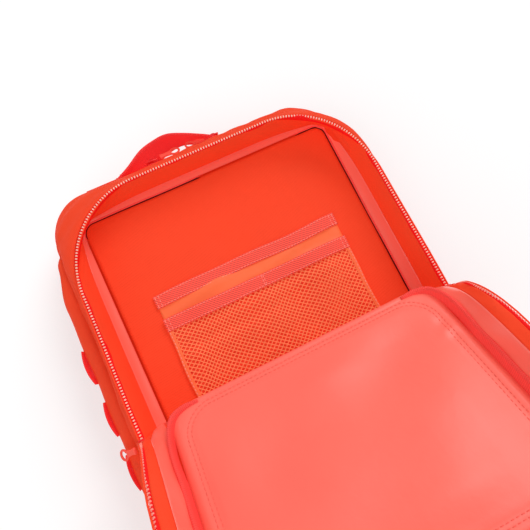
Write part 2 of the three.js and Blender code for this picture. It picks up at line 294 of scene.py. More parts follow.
def xyz(x: Array | float, y: Array | float, z: Array | float) -> Array:
    """Points from their coordinates, some of which may be single numbers."""
    return np.stack(np.broadcast_arrays(x, y, z), -1)


def between(first: Array, last: Array, rows: int) -> Array:
    """Evenly spread rows from a first to a last."""
    return first + (last - first) * np.linspace(0, 1, rows)[:, None, None]


class Ripple:
    """A smooth uneven height made of a few seeded waves."""

    def __init__(self, seed: int, height: float, length: float, waves: int = 7) -> None:
        """Draws the waves.

        Args:
            seed: The seed of the draw.
            height: Typical height in millimetres.
            length: Typical wave length in millimetres.
            waves: How many waves are added.
        """
        draw = np.random.default_rng(seed)
        angle = draw.uniform(0, 2 * math.pi, waves)
        size = length * draw.uniform(0.55, 1.7, waves)
        self.x = np.cos(angle) * 2 * math.pi / size
        self.y = np.sin(angle) * 2 * math.pi / size
        self.phase = draw.uniform(0, 2 * math.pi, waves)
        self.height = height / math.sqrt(waves / 2)

    def __call__(self, x: Array, y: Array) -> Array:
        """The height at plan points."""
        x, y = np.asarray(x, float)[..., None], np.asarray(y, float)[..., None]
        return self.height * np.sin(x * self.x + y * self.y + self.phase).sum(-1)


@dataclass
class Sheet:
    """A surface as rows of points.

    Attributes:
        points: Rows by columns by 3, in millimetres.
        ring: Whether each row closes on itself.
        tube: Whether the last row joins the first.
    """

    points: Array
    ring: bool = False
    tube: bool = False

    def _steps(self) -> tuple[Array, Array]:
        """The vectors along a row and from row to row at each point."""
        p = self.points
        along = np.roll(p, -1, 1) - np.roll(p, 1, 1) if self.ring else np.gradient(p, axis=1)
        over = np.roll(p, -1, 0) - np.roll(p, 1, 0) if self.tube else np.gradient(p, axis=0)
        return along, over

    def normals(self) -> Array:
        """The unit normal at each point, on the side that its faces look to."""
        return unit(np.cross(*self._steps()))

    def lengths(self) -> tuple[Array, Array]:
        """Cloth coordinates of each point, along a row and from row to row, in millimetres."""
        p = self.points
        u = np.cumsum(np.linalg.norm(np.diff(p, axis=1, prepend=p[:, :1]), axis=2), 1).mean(0)
        v = np.cumsum(np.linalg.norm(np.diff(p, axis=0, prepend=p[:1]), axis=2), 0).mean(1)
        return np.meshgrid(u, v)

    def raised(self, height: Array | float) -> "Sheet":
        """The sheet moved along its normals."""
        moved = self.points + self.normals() * np.asarray(height, float)[..., None]
        return Sheet(moved, self.ring, self.tube)

    def rippled(self, ripple: Ripple) -> "Sheet":
        """The sheet raised by a ripple over its own cloth coordinates."""
        u, v = self.lengths()
        if self.ring:
            turn = u / u.max() * 2 * math.pi
            reach = u.max() / (2 * math.pi)
            return self.raised(ripple(reach * np.cos(turn) + v, reach * np.sin(turn)))
        return self.raised(ripple(u, v))

    def flipped(self) -> "Sheet":
        """The sheet facing the other way."""
        return Sheet(self.points[:, ::-1], self.ring, self.tube)

    def mesh(self, name: str, capped: bool = False) -> Mesh:
        """Makes the mesh, with cloth coordinates in metres as its UV map.

        Args:
            name: The mesh's name.
            capped: Whether open ends are closed with a face.
        Returns:
            The new mesh.
        """
        rows, columns = self.points.shape[:2]
        u, v = self.lengths()
        last = self.points[:, :1] - self.points[:, -1:]
        u = np.hstack([u, u[:, -1:] + np.linalg.norm(last, axis=2).mean()]) * METRES
        v = np.hstack([v, v[:, -1:]]) * METRES
        round_tube = np.linalg.norm(self.points[0] - self.points[-1], axis=1).mean() * METRES
        v = np.vstack([v, v[-1:] + round_tube])
        u = np.vstack([u, u[-1:]])
        i, j = np.meshgrid(np.arange(rows if self.tube else rows - 1),
                           np.arange(columns if self.ring else columns - 1), indexing="ij")
        corner_i = np.stack([i, i, i + 1, i + 1], -1).reshape(-1, 4)
        corner_j = np.stack([j, j + 1, j + 1, j], -1).reshape(-1, 4)
        faces = (corner_i % rows) * columns + corner_j % columns
        uv = np.stack([u[corner_i, corner_j], v[corner_i, corner_j]], -1)
        mesh = mesh_of(name, self.points, faces, uv)
        if capped:
            cap_ends(mesh)
        return mesh


def mesh_of(name: str, points: Array, faces: Array, uv: Array | None = None, smooth: bool = True) -> Mesh:
    """Makes a mesh.

    Args:
        name: Its name.
        points: Its points in millimetres from the seam origin.
        faces: The numbers of the points of each face.
        uv: Cloth coordinates in metres of each corner of each face, if it has them.
        smooth: Whether its faces are shaded smooth.
    Returns:
        The new mesh.
    """
    mesh = bpy.data.meshes.new(name)
    mesh.from_pydata(DATUM.metres(points.reshape(-1, 3)).tolist(), [], faces.tolist())
    if uv is not None:
        mesh.uv_layers.new(name="Cloth").data.foreach_set("uv", uv.astype(np.float32).ravel())
    mesh.polygons.foreach_set("use_smooth", [smooth] * len(mesh.polygons))
    return mesh


def cap_ends(mesh: Mesh) -> None:
    """Closes the open ends of a tube."""
    work = bmesh.new()
    work.from_mesh(mesh)
    rim = [edge for edge in work.edges if edge.is_boundary]
    bmesh.ops.holes_fill(work, edges=rim, sides=0)
    work.to_mesh(mesh)
    work.free()


def ring_section(radius: float, sides: int = 8) -> Array:
    """A round section for a swept cord."""
    turn = np.linspace(0, 2 * math.pi, sides, endpoint=False)
    return np.stack([np.cos(turn), np.sin(turn)], 1) * radius


def flat_section(width: float, thickness: float) -> Array:
    """A webbing section with soft edges."""
    w, t = width / 2, thickness / 2
    upper = [(w, 0), (w - 0.6 * t, 0.8 * t), (w / 2, t), (0, t), (-w / 2, t), (-w + 0.6 * t, 0.8 * t)]
    lower = [(-w, 0), (-w + 0.6 * t, -0.8 * t), (-w / 2, -t), (0, -t), (w / 2, -t), (w - 0.6 * t, -0.8 * t)]
    return np.array(upper + lower)


def sweep(path: Array, across: Array, section: Array, closed: bool = False) -> Sheet:
    """Carries a section along a path.

    Args:
        path: The points that the section follows.
        across: The direction of the section's first axis, for all points or one for each.
        section: Outline points across and up, anticlockwise seen from the path's end.
        closed: Whether the path joins its own start.
    Returns:
        A tube-like sheet.
    """
    step = np.roll(path, -1, 0) - np.roll(path, 1, 0) if closed else np.gradient(path, axis=0)
    ahead = unit(step)
    side = np.broadcast_to(np.asarray(across, float), path.shape)
    side = unit(side - (side * ahead).sum(1, keepdims=True) * ahead)
    up = np.cross(ahead, side)
    rows = [path + side * a + up * b for a, b in section]
    return Sheet(np.stack(rows), ring=closed, tube=True).flipped()


def facing_up(path: Array, closed: bool = False, up: Point = (0, 0, 1)) -> Array:
    """The level direction across a path at each of its points."""
    step = np.roll(path, -1, 0) - np.roll(path, 1, 0) if closed else np.gradient(path, axis=0)
    return unit(np.cross(np.broadcast_to(np.array(up, float), path.shape), unit(step)))


def cord_along(path: Array, radius: float, sides: int = 8, closed: bool = False,
               up: Point = (0, 0, 1)) -> Sheet:
    """A round cord along a path."""
    return sweep(path, facing_up(path, closed, up), ring_section(radius, sides), closed)


def strap_along(path: Array, across: Point, width: float, thickness: float,
                closed: bool = False) -> Sheet:
    """A strap with soft edges along a path."""
    return sweep(path, across, flat_section(width, thickness), closed)


def spindle() -> tuple[Array, list[tuple[int, ...]]]:
    """A small closed bead along X that stitches and teeth are copied from."""
    rings = ((-0.5, 0.45), (-0.28, 1.0), (0.28, 1.0), (0.5, 0.45))
    points = [(x, s * math.cos(a) / 2, s * math.sin(a) / 2)
              for x, s in rings for a in np.arange(4) * math.pi / 2 + math.pi / 4]
    faces = [(r * 4 + k, r * 4 + (k + 1) % 4, r * 4 + 4 + (k + 1) % 4, r * 4 + 4 + k)
             for r in range(3) for k in range(4)]
    faces = [tuple(reversed(face)) for face in faces]
    return np.array(points), [*faces, (0, 1, 2, 3), (15, 14, 13, 12)]


def beads(name: str, centres: Array, along: Array, up: Array, size: Triple) -> Mesh:
    """Copies the spindle to many places in one mesh.

    Args:
        name: The mesh's name.
        centres: Where the copies are.
        along: The direction of each copy's length.
        up: The direction of its height.
        size: Length, width and height.
    Returns:
        The new mesh.
    """
    along = unit(np.broadcast_to(along, centres.shape))
    up = np.broadcast_to(up, centres.shape)
    up = unit(up - (up * along).sum(1, keepdims=True) * along)
    side = np.cross(up, along)
    points, faces = spindle()
    scaled = points * np.array(size) * np.array([1, 1.2, 1.2])
    placed = (centres[:, None] + scaled[None, :, :1] * along[:, None] + scaled[None, :, 1:2] * side[:, None]
              + scaled[None, :, 2:] * up[:, None])
    offsets = np.arange(len(centres))[:, None, None] * len(points)
    all_faces = (np.array(faces)[None] + offsets).reshape(-1, 4)
    return mesh_of(name, placed, all_faces)


def meshed_teeth(name: str, centres: Array, across: Array, up: Array, reach: float,
                 size: Triple) -> Mesh:
    """Teeth that reach over the middle of a closed zip from both sides by turns."""
    shift = np.where(np.arange(len(centres)) % 2, reach, -reach)[:, None] * across
    return beads(name, centres + shift, across, up, size)


def stitch_places(path: Array, pitch: float, closed: bool = False) -> tuple[Array, Array]:
    """Evenly spaced places along a path and the direction at each."""
    line = np.vstack([path, path[:1]]) if closed else path
    length = np.linalg.norm(np.diff(line, axis=0), axis=1).sum()
    count = max(2, round(length / pitch))
    dense = spaced(line, 2 * count + 1)
    centres = dense[1::2]
    return centres, unit(dense[2::2] - dense[:-2:2])


# ---- shader writing


class Value:
    """A shader socket that can be used in Python arithmetic."""

    def __init__(self, tree: "Tree", socket: bpy.types.NodeSocket) -> None:
        """Wraps an output socket of a tree."""
        self.tree = tree
        self.socket = socket

    def _maths(self, operation: str, *values: "Value | float") -> "Value":
        """Adds one Math node."""
        return self.tree.node("ShaderNodeMath", {"operation": operation}, *values)

    @staticmethod
    def operator(operation: str, reflected: bool = False) -> Callable[["Value", "Value | float"], "Value"]:
        """Makes a Python operator that adds one Math node.

        Args:
            operation: The node's operation.
            reflected: Whether its two sides are swapped.
        Returns:
            The operator.
        """
        def applied(self: "Value", other: "Value | float") -> "Value":
            """Combines the value with another."""
            return self._maths(operation, other, self) if reflected else self._maths(operation, self, other)

        return applied

    __add__ = __radd__ = operator("ADD")
    __mul__ = __rmul__ = operator("MULTIPLY")
    __sub__, __rsub__ = operator("SUBTRACT"), operator("SUBTRACT", True)

    def sine(self) -> "Value":
        """The sine of self."""
        return self._maths("SINE", self)

    def size(self) -> "Value":
        """The absolute value of self."""
        return self._maths("ABSOLUTE", self)

    def over(self, limit: float) -> "Value":
        """1 where self is above the limit, else 0."""
        return self._maths("GREATER_THAN", self, limit)

    def limited(self) -> "Value":
        """self kept from 0 to 1."""
        return self.tree.node("ShaderNodeClamp", {}, self)


class Tree:
    """The node tree of one material or of the world, with its shader."""

    def __init__(self, name: str, world: bpy.types.World | None = None) -> None:
        """Makes the material, or takes over the nodes of a world.

        Args:
            name: The material's name.
            world: The world that the nodes are for, if not a material.
        """
        self.material = world or bpy.data.materials.new(name)
        self.material.use_nodes = True
        self.nodes = self.material.node_tree.nodes
        self.links = self.material.node_tree.links
        self.shader = self.nodes["Background" if world else "Principled BSDF"]

    def node(self, kind: str, settings: dict, *values: "Value | float | None", output: int | str = 0,
             **named: "Value | float | tuple") -> Value:
        """Adds a node.

        Args:
            kind: The node's type.
            settings: Its properties, which are set first; a ramp's stops are under "stops".
            values: Its inputs in order; None leaves one as it is.
            output: Which output is returned.
            named: Inputs by name, with _ for a space.
        Returns:
            The chosen output.
        """
        made = self.nodes.new(kind)
        for key, value in settings.items():
            if key == "stops":
                for place, shade in value:
                    made.color_ramp.elements.new(place).color = (*shade, 1)
                for spare in (0, -1):
                    made.color_ramp.elements.remove(made.color_ramp.elements[spare])
            else:
                setattr(made, key, value)
        pairs = list(zip(made.inputs, values))
        pairs += [(made.inputs[key.replace("_", " ")], value) for key, value in named.items()]
        for socket, value in pairs:
            if value is not None:
                self.feed(socket, value)
        return Value(self, made.outputs[output])

    def feed(self, socket: bpy.types.NodeSocket, value: "Value | float | tuple") -> None:
        """Links a value to a socket, or sets it there."""
        if isinstance(value, Value):
            self.links.new(value.socket, socket)
        elif socket.type == "RGBA" and len(value) == 3:
            socket.default_value = (*value, 1)
        else:
            socket.default_value = value

    def set(self, **inputs: "Value | float | tuple") -> None:
        """Feeds the shader's own sockets, named with _ for a space."""
        for key, value in inputs.items():
            self.feed(self.shader.inputs[key.replace("_", " ")], value)

    def cloth(self) -> tuple[Value, Value]:
        """The cloth coordinates along and across, in metres."""
        uv = self.node("ShaderNodeUVMap", {"uv_map": "Cloth"})
        split = self.node("ShaderNodeSeparateXYZ", {}, uv)
        return split, Value(self, split.socket.node.outputs[1])

    def place(self) -> Value:
        """The place on the object."""
        return self.node("ShaderNodeTexCoord", {}, output="Object")

    def noise(self, size: float, detail: float = 2.0, where: Value | None = None) -> Value:
        """An uneven value about 0.5.

        Args:
            size: Its grain in millimetres.
            detail: How many finer grains are added.
            where: The coordinates, or the place on the object.
        Returns:
            The value.
        """
        vector = where or self.place()
        return self.node("ShaderNodeTexNoise", {}, Vector=vector, Scale=1 / (size * METRES), Detail=detail,
                         Roughness=0.5)

    def tint(self, level: Value, colour: Colour, dark: float = 0.62, light: float = 1.38) -> Value:
        """The colour, darker where the level is low and lighter where it is high."""
        return self.node("ShaderNodeMix", {"data_type": "RGBA"}, level.limited(), *[None] * 5,
                         shade(colour, dark), shade(colour, light), output=2)

    def bump(self, height: Value, distance: float, normal: Value | None = None) -> Value:
        """A normal bent by a height of 0 to 1 that stands for a distance in millimetres."""
        made = self.node("ShaderNodeBump", {}, Strength=1.0, Distance=distance * METRES, Height=height)
        if normal:
            self.feed(made.socket.node.inputs["Normal"], normal)
        return made

    def background(self, lit: Value, plain: Value, camera: float, gloss: float) -> None:
        """Shows the camera, gloss and glass more of a plain surface than everything else.

        Args:
            lit: The surface that lights and shadows fall on.
            plain: The plain one.
            camera: Its share for the camera.
            gloss: Its share in gloss and glass.
        """
        rays = self.node("ShaderNodeLightPath", {}).socket.node.outputs
        seen, glossy, clear = (Value(self, rays[f"Is {kind} Ray"])
                               for kind in ("Camera", "Glossy", "Transmission"))
        share = (seen * camera + glossy * gloss + clear * gloss).limited()
        mixed = self.node("ShaderNodeMixShader", {}, share, lit, plain)
        end = next(node for node in self.nodes if node.bl_idname.startswith("ShaderNodeOutput"))
        self.links.new(mixed.socket, end.inputs["Surface"])


def shade(colour: Colour, factor: float) -> Colour:
    """The colour made darker or lighter."""
    return tuple(min(1.0, c * factor) for c in colour)


class Pattern(Enum):
    """How threads cross."""

    PLAIN = "plain"
    TWILL = "twill"
    RIBBED = "ribbed"


@dataclass(frozen=True)
class Cloth:
    """A woven cloth.

    Attributes:
        name: The material's name.
        colour: Its colour.
        pitch: Millimetres from thread to thread.
        pattern: How the threads cross.
        contrast: How much lighter raised threads are painted than low ones: painted shade of the weave's
            relief.
        relief: Thread height in millimetres.
        roughness: Surface roughness.
        sheen: How much light its nap catches.
        mottle: How uneven the colour is over a few centimetres.
        crease: Height of fine creases in millimetres.
        gloss: Weight of the clear coat.
        glow: How strongly it glows in its own colour: painted light that lightens its shaded parts.
    """

    name: str
    colour: Colour
    pitch: float = 1.4
    pattern: Pattern = Pattern.PLAIN
    contrast: float = 0.10
    relief: float = 0.12
    roughness: float = 0.72
    sheen: float = 0.12
    mottle: float = 0.10
    crease: float = 0.25
    gloss: float = 0.0
    glow: float = PAINTED_GLOW

    def threads(self, tree: Tree) -> Value:
        """The height of the weave, about 0.5."""
        u, v = tree.cloth()
        turn = 2 * math.pi / (self.pitch * METRES)
        if self.pattern is Pattern.TWILL:
            return (u * turn + v * turn).sine() * 0.35 + (v * (turn * 2) - u * turn).sine() * 0.15 + 0.5
        if self.pattern is Pattern.RIBBED:
            wave = (u * turn).sine() * (1.0 - (v * (turn * 0.5)).sine().size() * 0.4)
            return wave * 0.5 + 0.5
        return (u * turn).sine() * (v * turn).sine() * 0.5 + 0.5

    def material(self) -> bpy.types.Material:
        """Builds the material."""
        tree = Tree(self.name)
        threads = self.threads(tree)
        patches = tree.noise(38, 3)
        creases = tree.noise(9, 2)
        # Painted shade: raised threads lighter and low ones darker, with random patches of tone.
        level = (threads - 0.5) * self.contrast + (patches - 0.5) * (self.mottle * 2) + 0.5
        colour = tree.tint(level, self.colour)
        soft = tree.bump(creases, self.crease)
        tree.set(Base_Color=colour, Roughness=(patches - 0.5) * 0.15 + self.roughness,
                 Normal=tree.bump(threads, self.relief, soft))
        # Painted light: the colour also glows at the glow strength, lightening the shade on this cloth.
        tree.set(Specular_IOR_Level=0.2, Sheen_Weight=self.sheen, Sheen_Roughness=0.45,
                 Sheen_Tint=(*shade(self.colour, 1.1), 1), Emission_Color=colour, Emission_Strength=self.glow)
        if self.gloss:
            tree.set(Coat_Weight=self.gloss, Coat_Roughness=0.28)
        return tree.material


@dataclass(frozen=True)
class Coated:
    """A coated cloth with a soft shine and a fine pebbled skin."""

    name: str
    colour: Colour
    roughness: float = 0.42
    gloss: float = 0.18
    grain: float = 0.9
    relief: float = 0.05
    crease: float = 0.5

    def material(self) -> bpy.types.Material:
        """Builds the material."""
        tree = Tree(self.name)
        patches = tree.noise(55, 3)
        skin = tree.noise(self.grain, 2)
        creases = tree.noise(16, 3)
        level = (patches - 0.5) * 0.22 + (skin - 0.5) * 0.08 + 0.5
        colour = tree.tint(level, self.colour)
        soft = tree.bump(creases, self.crease)
        tree.set(Base_Color=colour, Roughness=(patches - 0.5) * 0.2 + self.roughness,
                 Normal=tree.bump(skin, self.relief, soft))
        # Painted light: the coating glows in its own colour, lightening its shade.
        tree.set(Specular_IOR_Level=0.35, Coat_Weight=self.gloss, Coat_Roughness=0.3, Emission_Color=colour,
                 Emission_Strength=PAINTED_GLOW)
        return tree.material


@dataclass(frozen=True)
class Moulded:
    """Moulded plastic with a faint grain."""

    name: str
    colour: Colour
    roughness: float = 0.42
    relief: float = 0.03
    # glow: painted light, how strongly the plastic glows in its own colour
    glow: float = 0.25

    def material(self) -> bpy.types.Material:
        """Builds the material."""
        tree = Tree(self.name)
        grain = tree.noise(0.8, 2)
        wear = tree.noise(14, 3)
        colour = tree.tint((wear - 0.5) * 0.3 + 0.5, self.colour, 0.7, 1.3)
        tree.set(Base_Color=colour, Roughness=(wear - 0.5) * 0.2 + self.roughness,
                 Normal=tree.bump(grain, self.relief))
        # Painted light: the plastic glows in its own colour, lightening its shade.
        tree.set(Specular_IOR_Level=0.45, Emission_Color=colour, Emission_Strength=self.glow)
        return tree.material


@dataclass(frozen=True)
class AirMesh:
    """Spacer cloth with rows of small holes, as on the pads that touch the back."""

    name: str
    colour: Colour
    pitch: float = 4.2

    def material(self) -> bpy.types.Material:
        """Builds the material."""
        tree = Tree(self.name)
        split = tree.node("ShaderNodeSeparateXYZ", {}, tree.place())
        y = Value(tree, split.socket.node.outputs[1])
        turn = 2 * math.pi / (self.pitch * METRES)
        cells = (split * turn).sine() * (y * (turn * 0.6)).sine()
        holes = cells.size().over(0.42)
        knit = tree.noise(0.7, 1)
        # Painted shade: the holes are only painted dark and bumped, standing for the shade inside them.
        level = 0.55 - holes * 0.4 + (knit - 0.5) * 0.3
        colour = tree.tint(level, self.colour, 0.25, 1.3)
        tree.set(Base_Color=colour, Roughness=0.85, Normal=tree.bump(level, 0.5))
        tree.set(Specular_IOR_Level=0.15, Sheen_Weight=0.15)
        return tree.material


ORANGE: Colour = (0.82, 0.050, 0.014)
BRIGHT: Colour = (0.84, 0.120, 0.035)
CORAL: Colour = (0.85, 0.085, 0.058)
BLUSH: Colour = (0.86, 0.115, 0.082)
DEEP: Colour = (0.84, 0.050, 0.020)
RUST: Colour = (0.86, 0.058, 0.048)
SALMON: Colour = (0.95, 0.240, 0.190)
SCARLET: Colour = (0.86, 0.032, 0.032)
CRIMSON: Colour = (0.80, 0.006, 0.006)
NETTING: Colour = (1.0, 0.205, 0.085)
# PALE: the teeth's own colour lightened into painted highlight, standing for the glints along the main zip.
PALE: Colour = (1.0, 0.45, 0.35)
GARNET: Colour = (0.72, 0.016, 0.016)
SHADOW: Colour = (0.10, 0.003, 0.003)


class Look:
    """A finish with its material made, and the record's slot that it belongs to."""

    def __init__(self, slot: Slot, finish: Cloth | Coated | Moulded | AirMesh) -> None:
        """Builds the material."""
        self.slot = slot
        self.material = finish.material()


class Finish:
    """The looks of the backpack, each built once."""

    def __init__(self) -> None:
        """Builds every material."""
        twill, ribbed = Pattern.TWILL, Pattern.RIBBED
        self.floor = Look(Slot.WEAVE, Cloth("floor cloth", ORANGE, 2.0, twill, contrast=0.55, mottle=0.05,
                                            relief=0.2))
        self.shell = Look(Slot.WEAVE, Cloth("shell cloth", ORANGE, 1.5, contrast=0.16, mottle=0.06,
                                            crease=0.7, glow=0.22))
        # Painted shade: a near-black cloth that shows only in the gap under the floor's lifted edge.
        self.seam_tape = Look(Slot.WEAVE, Cloth("seam tape", SHADOW, 1.2, glow=0.05))
        # Painted shade: darker than the pocket nylon and glowing less, it stands for the net's shadow on the
        # pocket.
        self.backing = Look(Slot.WEAVE, Cloth("net backing", DEEP, 1.2, contrast=0.1, crease=0.6, glow=0.2))
        self.strip = Look(Slot.WEAVE, Cloth("edge cloth", ORANGE, 1.5, mottle=0.06, crease=0.6))
        self.nylon = Look(Slot.WEAVE, Cloth("pocket nylon", BRIGHT, 1.0, contrast=0.06, roughness=0.45,
                                            sheen=0.05, crease=0.9, gloss=0.25))
        self.net = Look(Slot.NET, Cloth("netting", NETTING, 0.6, contrast=0.2, relief=0.1, crease=0.05))
        self.tape = Look(Slot.TAPE, Cloth("woven tape", shade(CORAL, 0.88), 3.0, twill, contrast=1.2,
                                          relief=0.3, crease=0.1))
        self.webbing = Look(Slot.WEBBING, Cloth("webbing", SCARLET, 1.7, ribbed, contrast=0.35, relief=0.35,
                                                crease=0.1))
        self.binding = Look(Slot.WEBBING, Cloth("ribbed binding", RUST, 1.6, ribbed, contrast=0.5,
                                                relief=0.35, crease=0.1))
        self.zip_tape = Look(Slot.ZIP_TAPE, Cloth("zip tape", CRIMSON, 1.1, twill, contrast=0.3, crease=0.1))
        self.wall = Look(Slot.COATING, Coated("wall coating", BLUSH, roughness=0.34, gloss=0.45))
        self.flap = Look(Slot.COATING, Coated("flap coating", BLUSH, roughness=0.46, gloss=0.16, crease=0.45))
        self.thread = Look(Slot.TAPE, Moulded("thread", SALMON, roughness=0.6))
        self.dark_thread = Look(Slot.COATING, Moulded("flap thread", shade(BLUSH, 0.92), roughness=0.6))
        self.cover_teeth = Look(Slot.TEETH, Moulded("cover zip teeth", SALMON, roughness=0.35))
        # Painted highlight: the main zip's teeth are made pale to stand for their glints.
        self.teeth = Look(Slot.TEETH, Moulded("zip teeth", PALE, roughness=0.3))
        self.plastic = Look(Slot.HARDWARE, Moulded("moulded plastic", GARNET, glow=0.12))
        self.cord = Look(Slot.HARDWARE, Cloth("pull cord", CORAL, 1.2, contrast=0.4, relief=0.2))
        self.padding = Look(Slot.PADDING, AirMesh("air mesh", CORAL))


class Workshop:
    """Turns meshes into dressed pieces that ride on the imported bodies."""

    def __init__(self) -> None:
        """Starts with the finishes made."""
        self.finish = Finish()

    def piece(self, name: str, shape: Sheet | Mesh, look: Look, *nodes: str, body: str | None = Body.PACK,
              slot: Slot | None = None, thickness: float = 0.0, capped: bool = False) -> Thing:
        """Adds a piece.

        Args:
            name: The piece's name.
            shape: Its surface, or its mesh in row-frame metres.
            look: Its finish.
            nodes: The CAD nodes that it stands for.
            body: The body it rides on, or None where it rides on none.
            slot: Not used.
            thickness: Millimetres of cloth added behind its faces.
            capped: Whether the open ends of its surface are closed.
        Returns:
            The new object.
        """
        mesh = shape.mesh(name, capped) if isinstance(shape, Sheet) else shape
        made = bpy.data.objects.new(name, mesh)
        bpy.context.scene.collection.objects.link(made)
        made.data.materials.append(look.material)
        if thickness:
            self.modify(made, "SOLIDIFY", thickness=thickness * METRES, offset=-1)
            self.apply(made)
        if body is not None:
            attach(made, str(getattr(body, "value", body)))
        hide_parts(*nodes)
        LOG.info("%s: %d faces", name, len(made.data.polygons))
        return made

    @staticmethod
    def modify(target: Thing, kind: str, **settings: float | int | str) -> None:
        """Adds a modifier.

        Args:
            target: The object.
            kind: The modifier's type.
            settings: Its properties, in the order that they are set.
        """
        made = target.modifiers.new(kind.title(), kind)
        for key, value in settings.items():
            setattr(made, key, value)

    @staticmethod
    def only(target: Thing) -> None:
        """Selects one object alone and makes it active."""
        if bpy.context.object and bpy.context.object.mode != "OBJECT":
            bpy.ops.object.mode_set(mode="OBJECT")
        bpy.ops.object.select_all(action="DESELECT")
        target.select_set(True)
        bpy.context.view_layer.objects.active = target

    def apply(self, target: Thing) -> None:
        """Applies every modifier of an object."""
        self.only(target)
        for modifier in list(target.modifiers):
            bpy.ops.object.modifier_apply(modifier=modifier.name)

    def plate(self, name: str, xs: Point, ys: Point, windows: Sequence[tuple[int, int]],
              thickness: float, bevel: float) -> Mesh:
        """Models a moulded plate with windows, flat at the origin, in millimetres.

        Args:
            name: The mesh's name.
            xs: Edges of its columns.
            ys: Edges of its rows.
            windows: Column and row of each cell that is cut out.
            thickness: Its thickness.
            bevel: Width of its rounded edges.
        Returns:
            The mesh.
        """
        bpy.ops.object.select_all(action="DESELECT")
        bpy.ops.mesh.primitive_grid_add(x_subdivisions=len(xs) - 1, y_subdivisions=len(ys) - 1, size=1)
        made = bpy.context.object
        for vertex in made.data.vertices:
            column = round((vertex.co.x + 0.5) * (len(xs) - 1))
            row = round((vertex.co.y + 0.5) * (len(ys) - 1))
            vertex.co = (xs[column], ys[row], thickness / 2)
        for part in (*made.data.vertices, *made.data.edges):
            part.select = False
        for face in made.data.polygons:
            x, y = face.center.x, face.center.y
            face.select = any(xs[c] < x < xs[c + 1] and ys[r] < y < ys[r + 1] for c, r in windows)
        bpy.context.tool_settings.mesh_select_mode = (False, False, True)
        bpy.ops.object.mode_set(mode="EDIT")
        bpy.ops.mesh.delete(type="FACE")
        bpy.ops.object.mode_set(mode="OBJECT")
        bpy.context.tool_settings.mesh_select_mode = (True, False, False)
        self.modify(made, "SOLIDIFY", thickness=thickness)
        self.modify(made, "BEVEL", width=bevel, segments=3, limit_method="ANGLE")
        self.apply(made)
        return self.taken(made, name, 40)

    @staticmethod
    def taken(made: Thing, name: str, angle: float) -> Mesh:
        """Smooths an object's faces and takes its mesh.

        Args:
            made: The object, which is removed.
            name: The mesh's name.
            angle: Edges sharper than this many degrees stay sharp.
        Returns:
            The mesh.
        """
        bpy.ops.object.shade_smooth_by_angle(angle=math.radians(angle))
        mesh = made.data
        mesh.name = name
        bpy.data.objects.remove(made)
        return mesh

    def block(self, name: str, size: Triple, bevel: float,
              shape: Callable[[Vector], Vector] | None = None,
              at: Triple = (0, 0, 0)) -> Mesh:
        """Models a rounded block, in millimetres.

        Args:
            name: The mesh's name.
            size: Its size.
            bevel: Width of its rounded edges.
            shape: A function that moves its points after it is subdivided.
            at: Its middle.
        Returns:
            The mesh.
        """
        bpy.ops.object.select_all(action="DESELECT")
        bpy.ops.mesh.primitive_cube_add(size=1, scale=size)
        made = bpy.context.object
        bpy.ops.object.transform_apply(scale=True)
        bpy.ops.object.mode_set(mode="EDIT")
        bpy.ops.mesh.select_all(action="SELECT")
        bpy.ops.mesh.bevel(offset=bevel, segments=3, affect="EDGES")
        bpy.ops.mesh.select_all(action="SELECT")
        bpy.ops.mesh.subdivide(number_cuts=1)
        bpy.ops.object.mode_set(mode="OBJECT")
        if shape:
            for vertex in made.data.vertices:
                vertex.co = shape(vertex.co)
        mesh = self.taken(made, name, 50)
        mesh.transform(Matrix.Translation(at))
        return mesh

    @staticmethod
    def joined(name: str, meshes: Sequence[Mesh]) -> Mesh:
        """Puts several meshes into one."""
        work = bmesh.new()
        for mesh in meshes:
            work.from_mesh(mesh)
        whole = bpy.data.meshes.new(name)
        work.to_mesh(whole)
        work.free()
        return whole

    def thread(self, name: str, paths: Sequence[tuple[Array, Array]], body: str | None = Body.PACK,
               slot: Slot | None = None, look: Look | None = None, length: float = 3.0, gap: float = 1.2,
               width: float = 0.75) -> Thing:
        """Sews rows of stitches.

        Args:
            name: The piece's name.
            paths: Each row's path and the direction that it faces.
            body: The body it rides on.
            slot: Passed on to the piece.
            look: The thread's finish.
            length: Length of one stitch.
            gap: The gap to the next.
            width: Width of the thread.
        Returns:
            The new object.
        """
        meshes = []
        for path, up in paths:
            centres, along = stitch_places(path, length + gap)
            facing = np.broadcast_to(up, centres.shape)
            meshes.append(beads(name, centres, along, facing, (length, width, width * 0.8)))
        return self.piece(name, self.joined(name, meshes), look or self.finish.thread, body=body, slot=slot)

    def inflate(self, target: Thing, pressure: float, cap: float, voxel: float = 5.0) -> None:
        """Lets pressure fill a padded piece as its cloth would.

        Args:
            target: A closed mesh.
            pressure: Inner pressure.
            cap: The furthest that a point may move, in millimetres.
            voxel: Cell size of the remesh in millimetres.
        """
        self.modify(target, "REMESH", mode="VOXEL", voxel_size=voxel * METRES)
        self.modify(target, "SMOOTH", factor=0.5, iterations=9)
        self.apply(target)
        rest = np.array([v.co for v in target.data.vertices])
        cloth = target.modifiers.new("Cloth", "CLOTH")
        cloth.settings.use_pressure = True
        cloth.settings.uniform_pressure_force = pressure
        cloth.settings.effector_weights.gravity = 0
        cloth.settings.quality = 5
        scene = bpy.context.scene
        for number in range(1, SETTLED + 1):
            scene.frame_set(number)
        shown = target.evaluated_get(bpy.context.evaluated_depsgraph_get())
        now = np.array([v.co for v in shown.data.vertices])
        target.modifiers.remove(cloth)
        shift = now - rest
        far = np.linalg.norm(shift, axis=1, keepdims=True)
        moved = rest + shift * np.minimum(1, cap * METRES / np.maximum(far, 1e-9))
        target.data.vertices.foreach_set("co", moved.astype(np.float32).ravel())
        scene.frame_set(1)
        self.modify(target, "SUBSURF", levels=1, render_levels=1)
        self.apply(target)
        target.data.polygons.foreach_set("use_smooth", [True] * len(target.data.polygons))


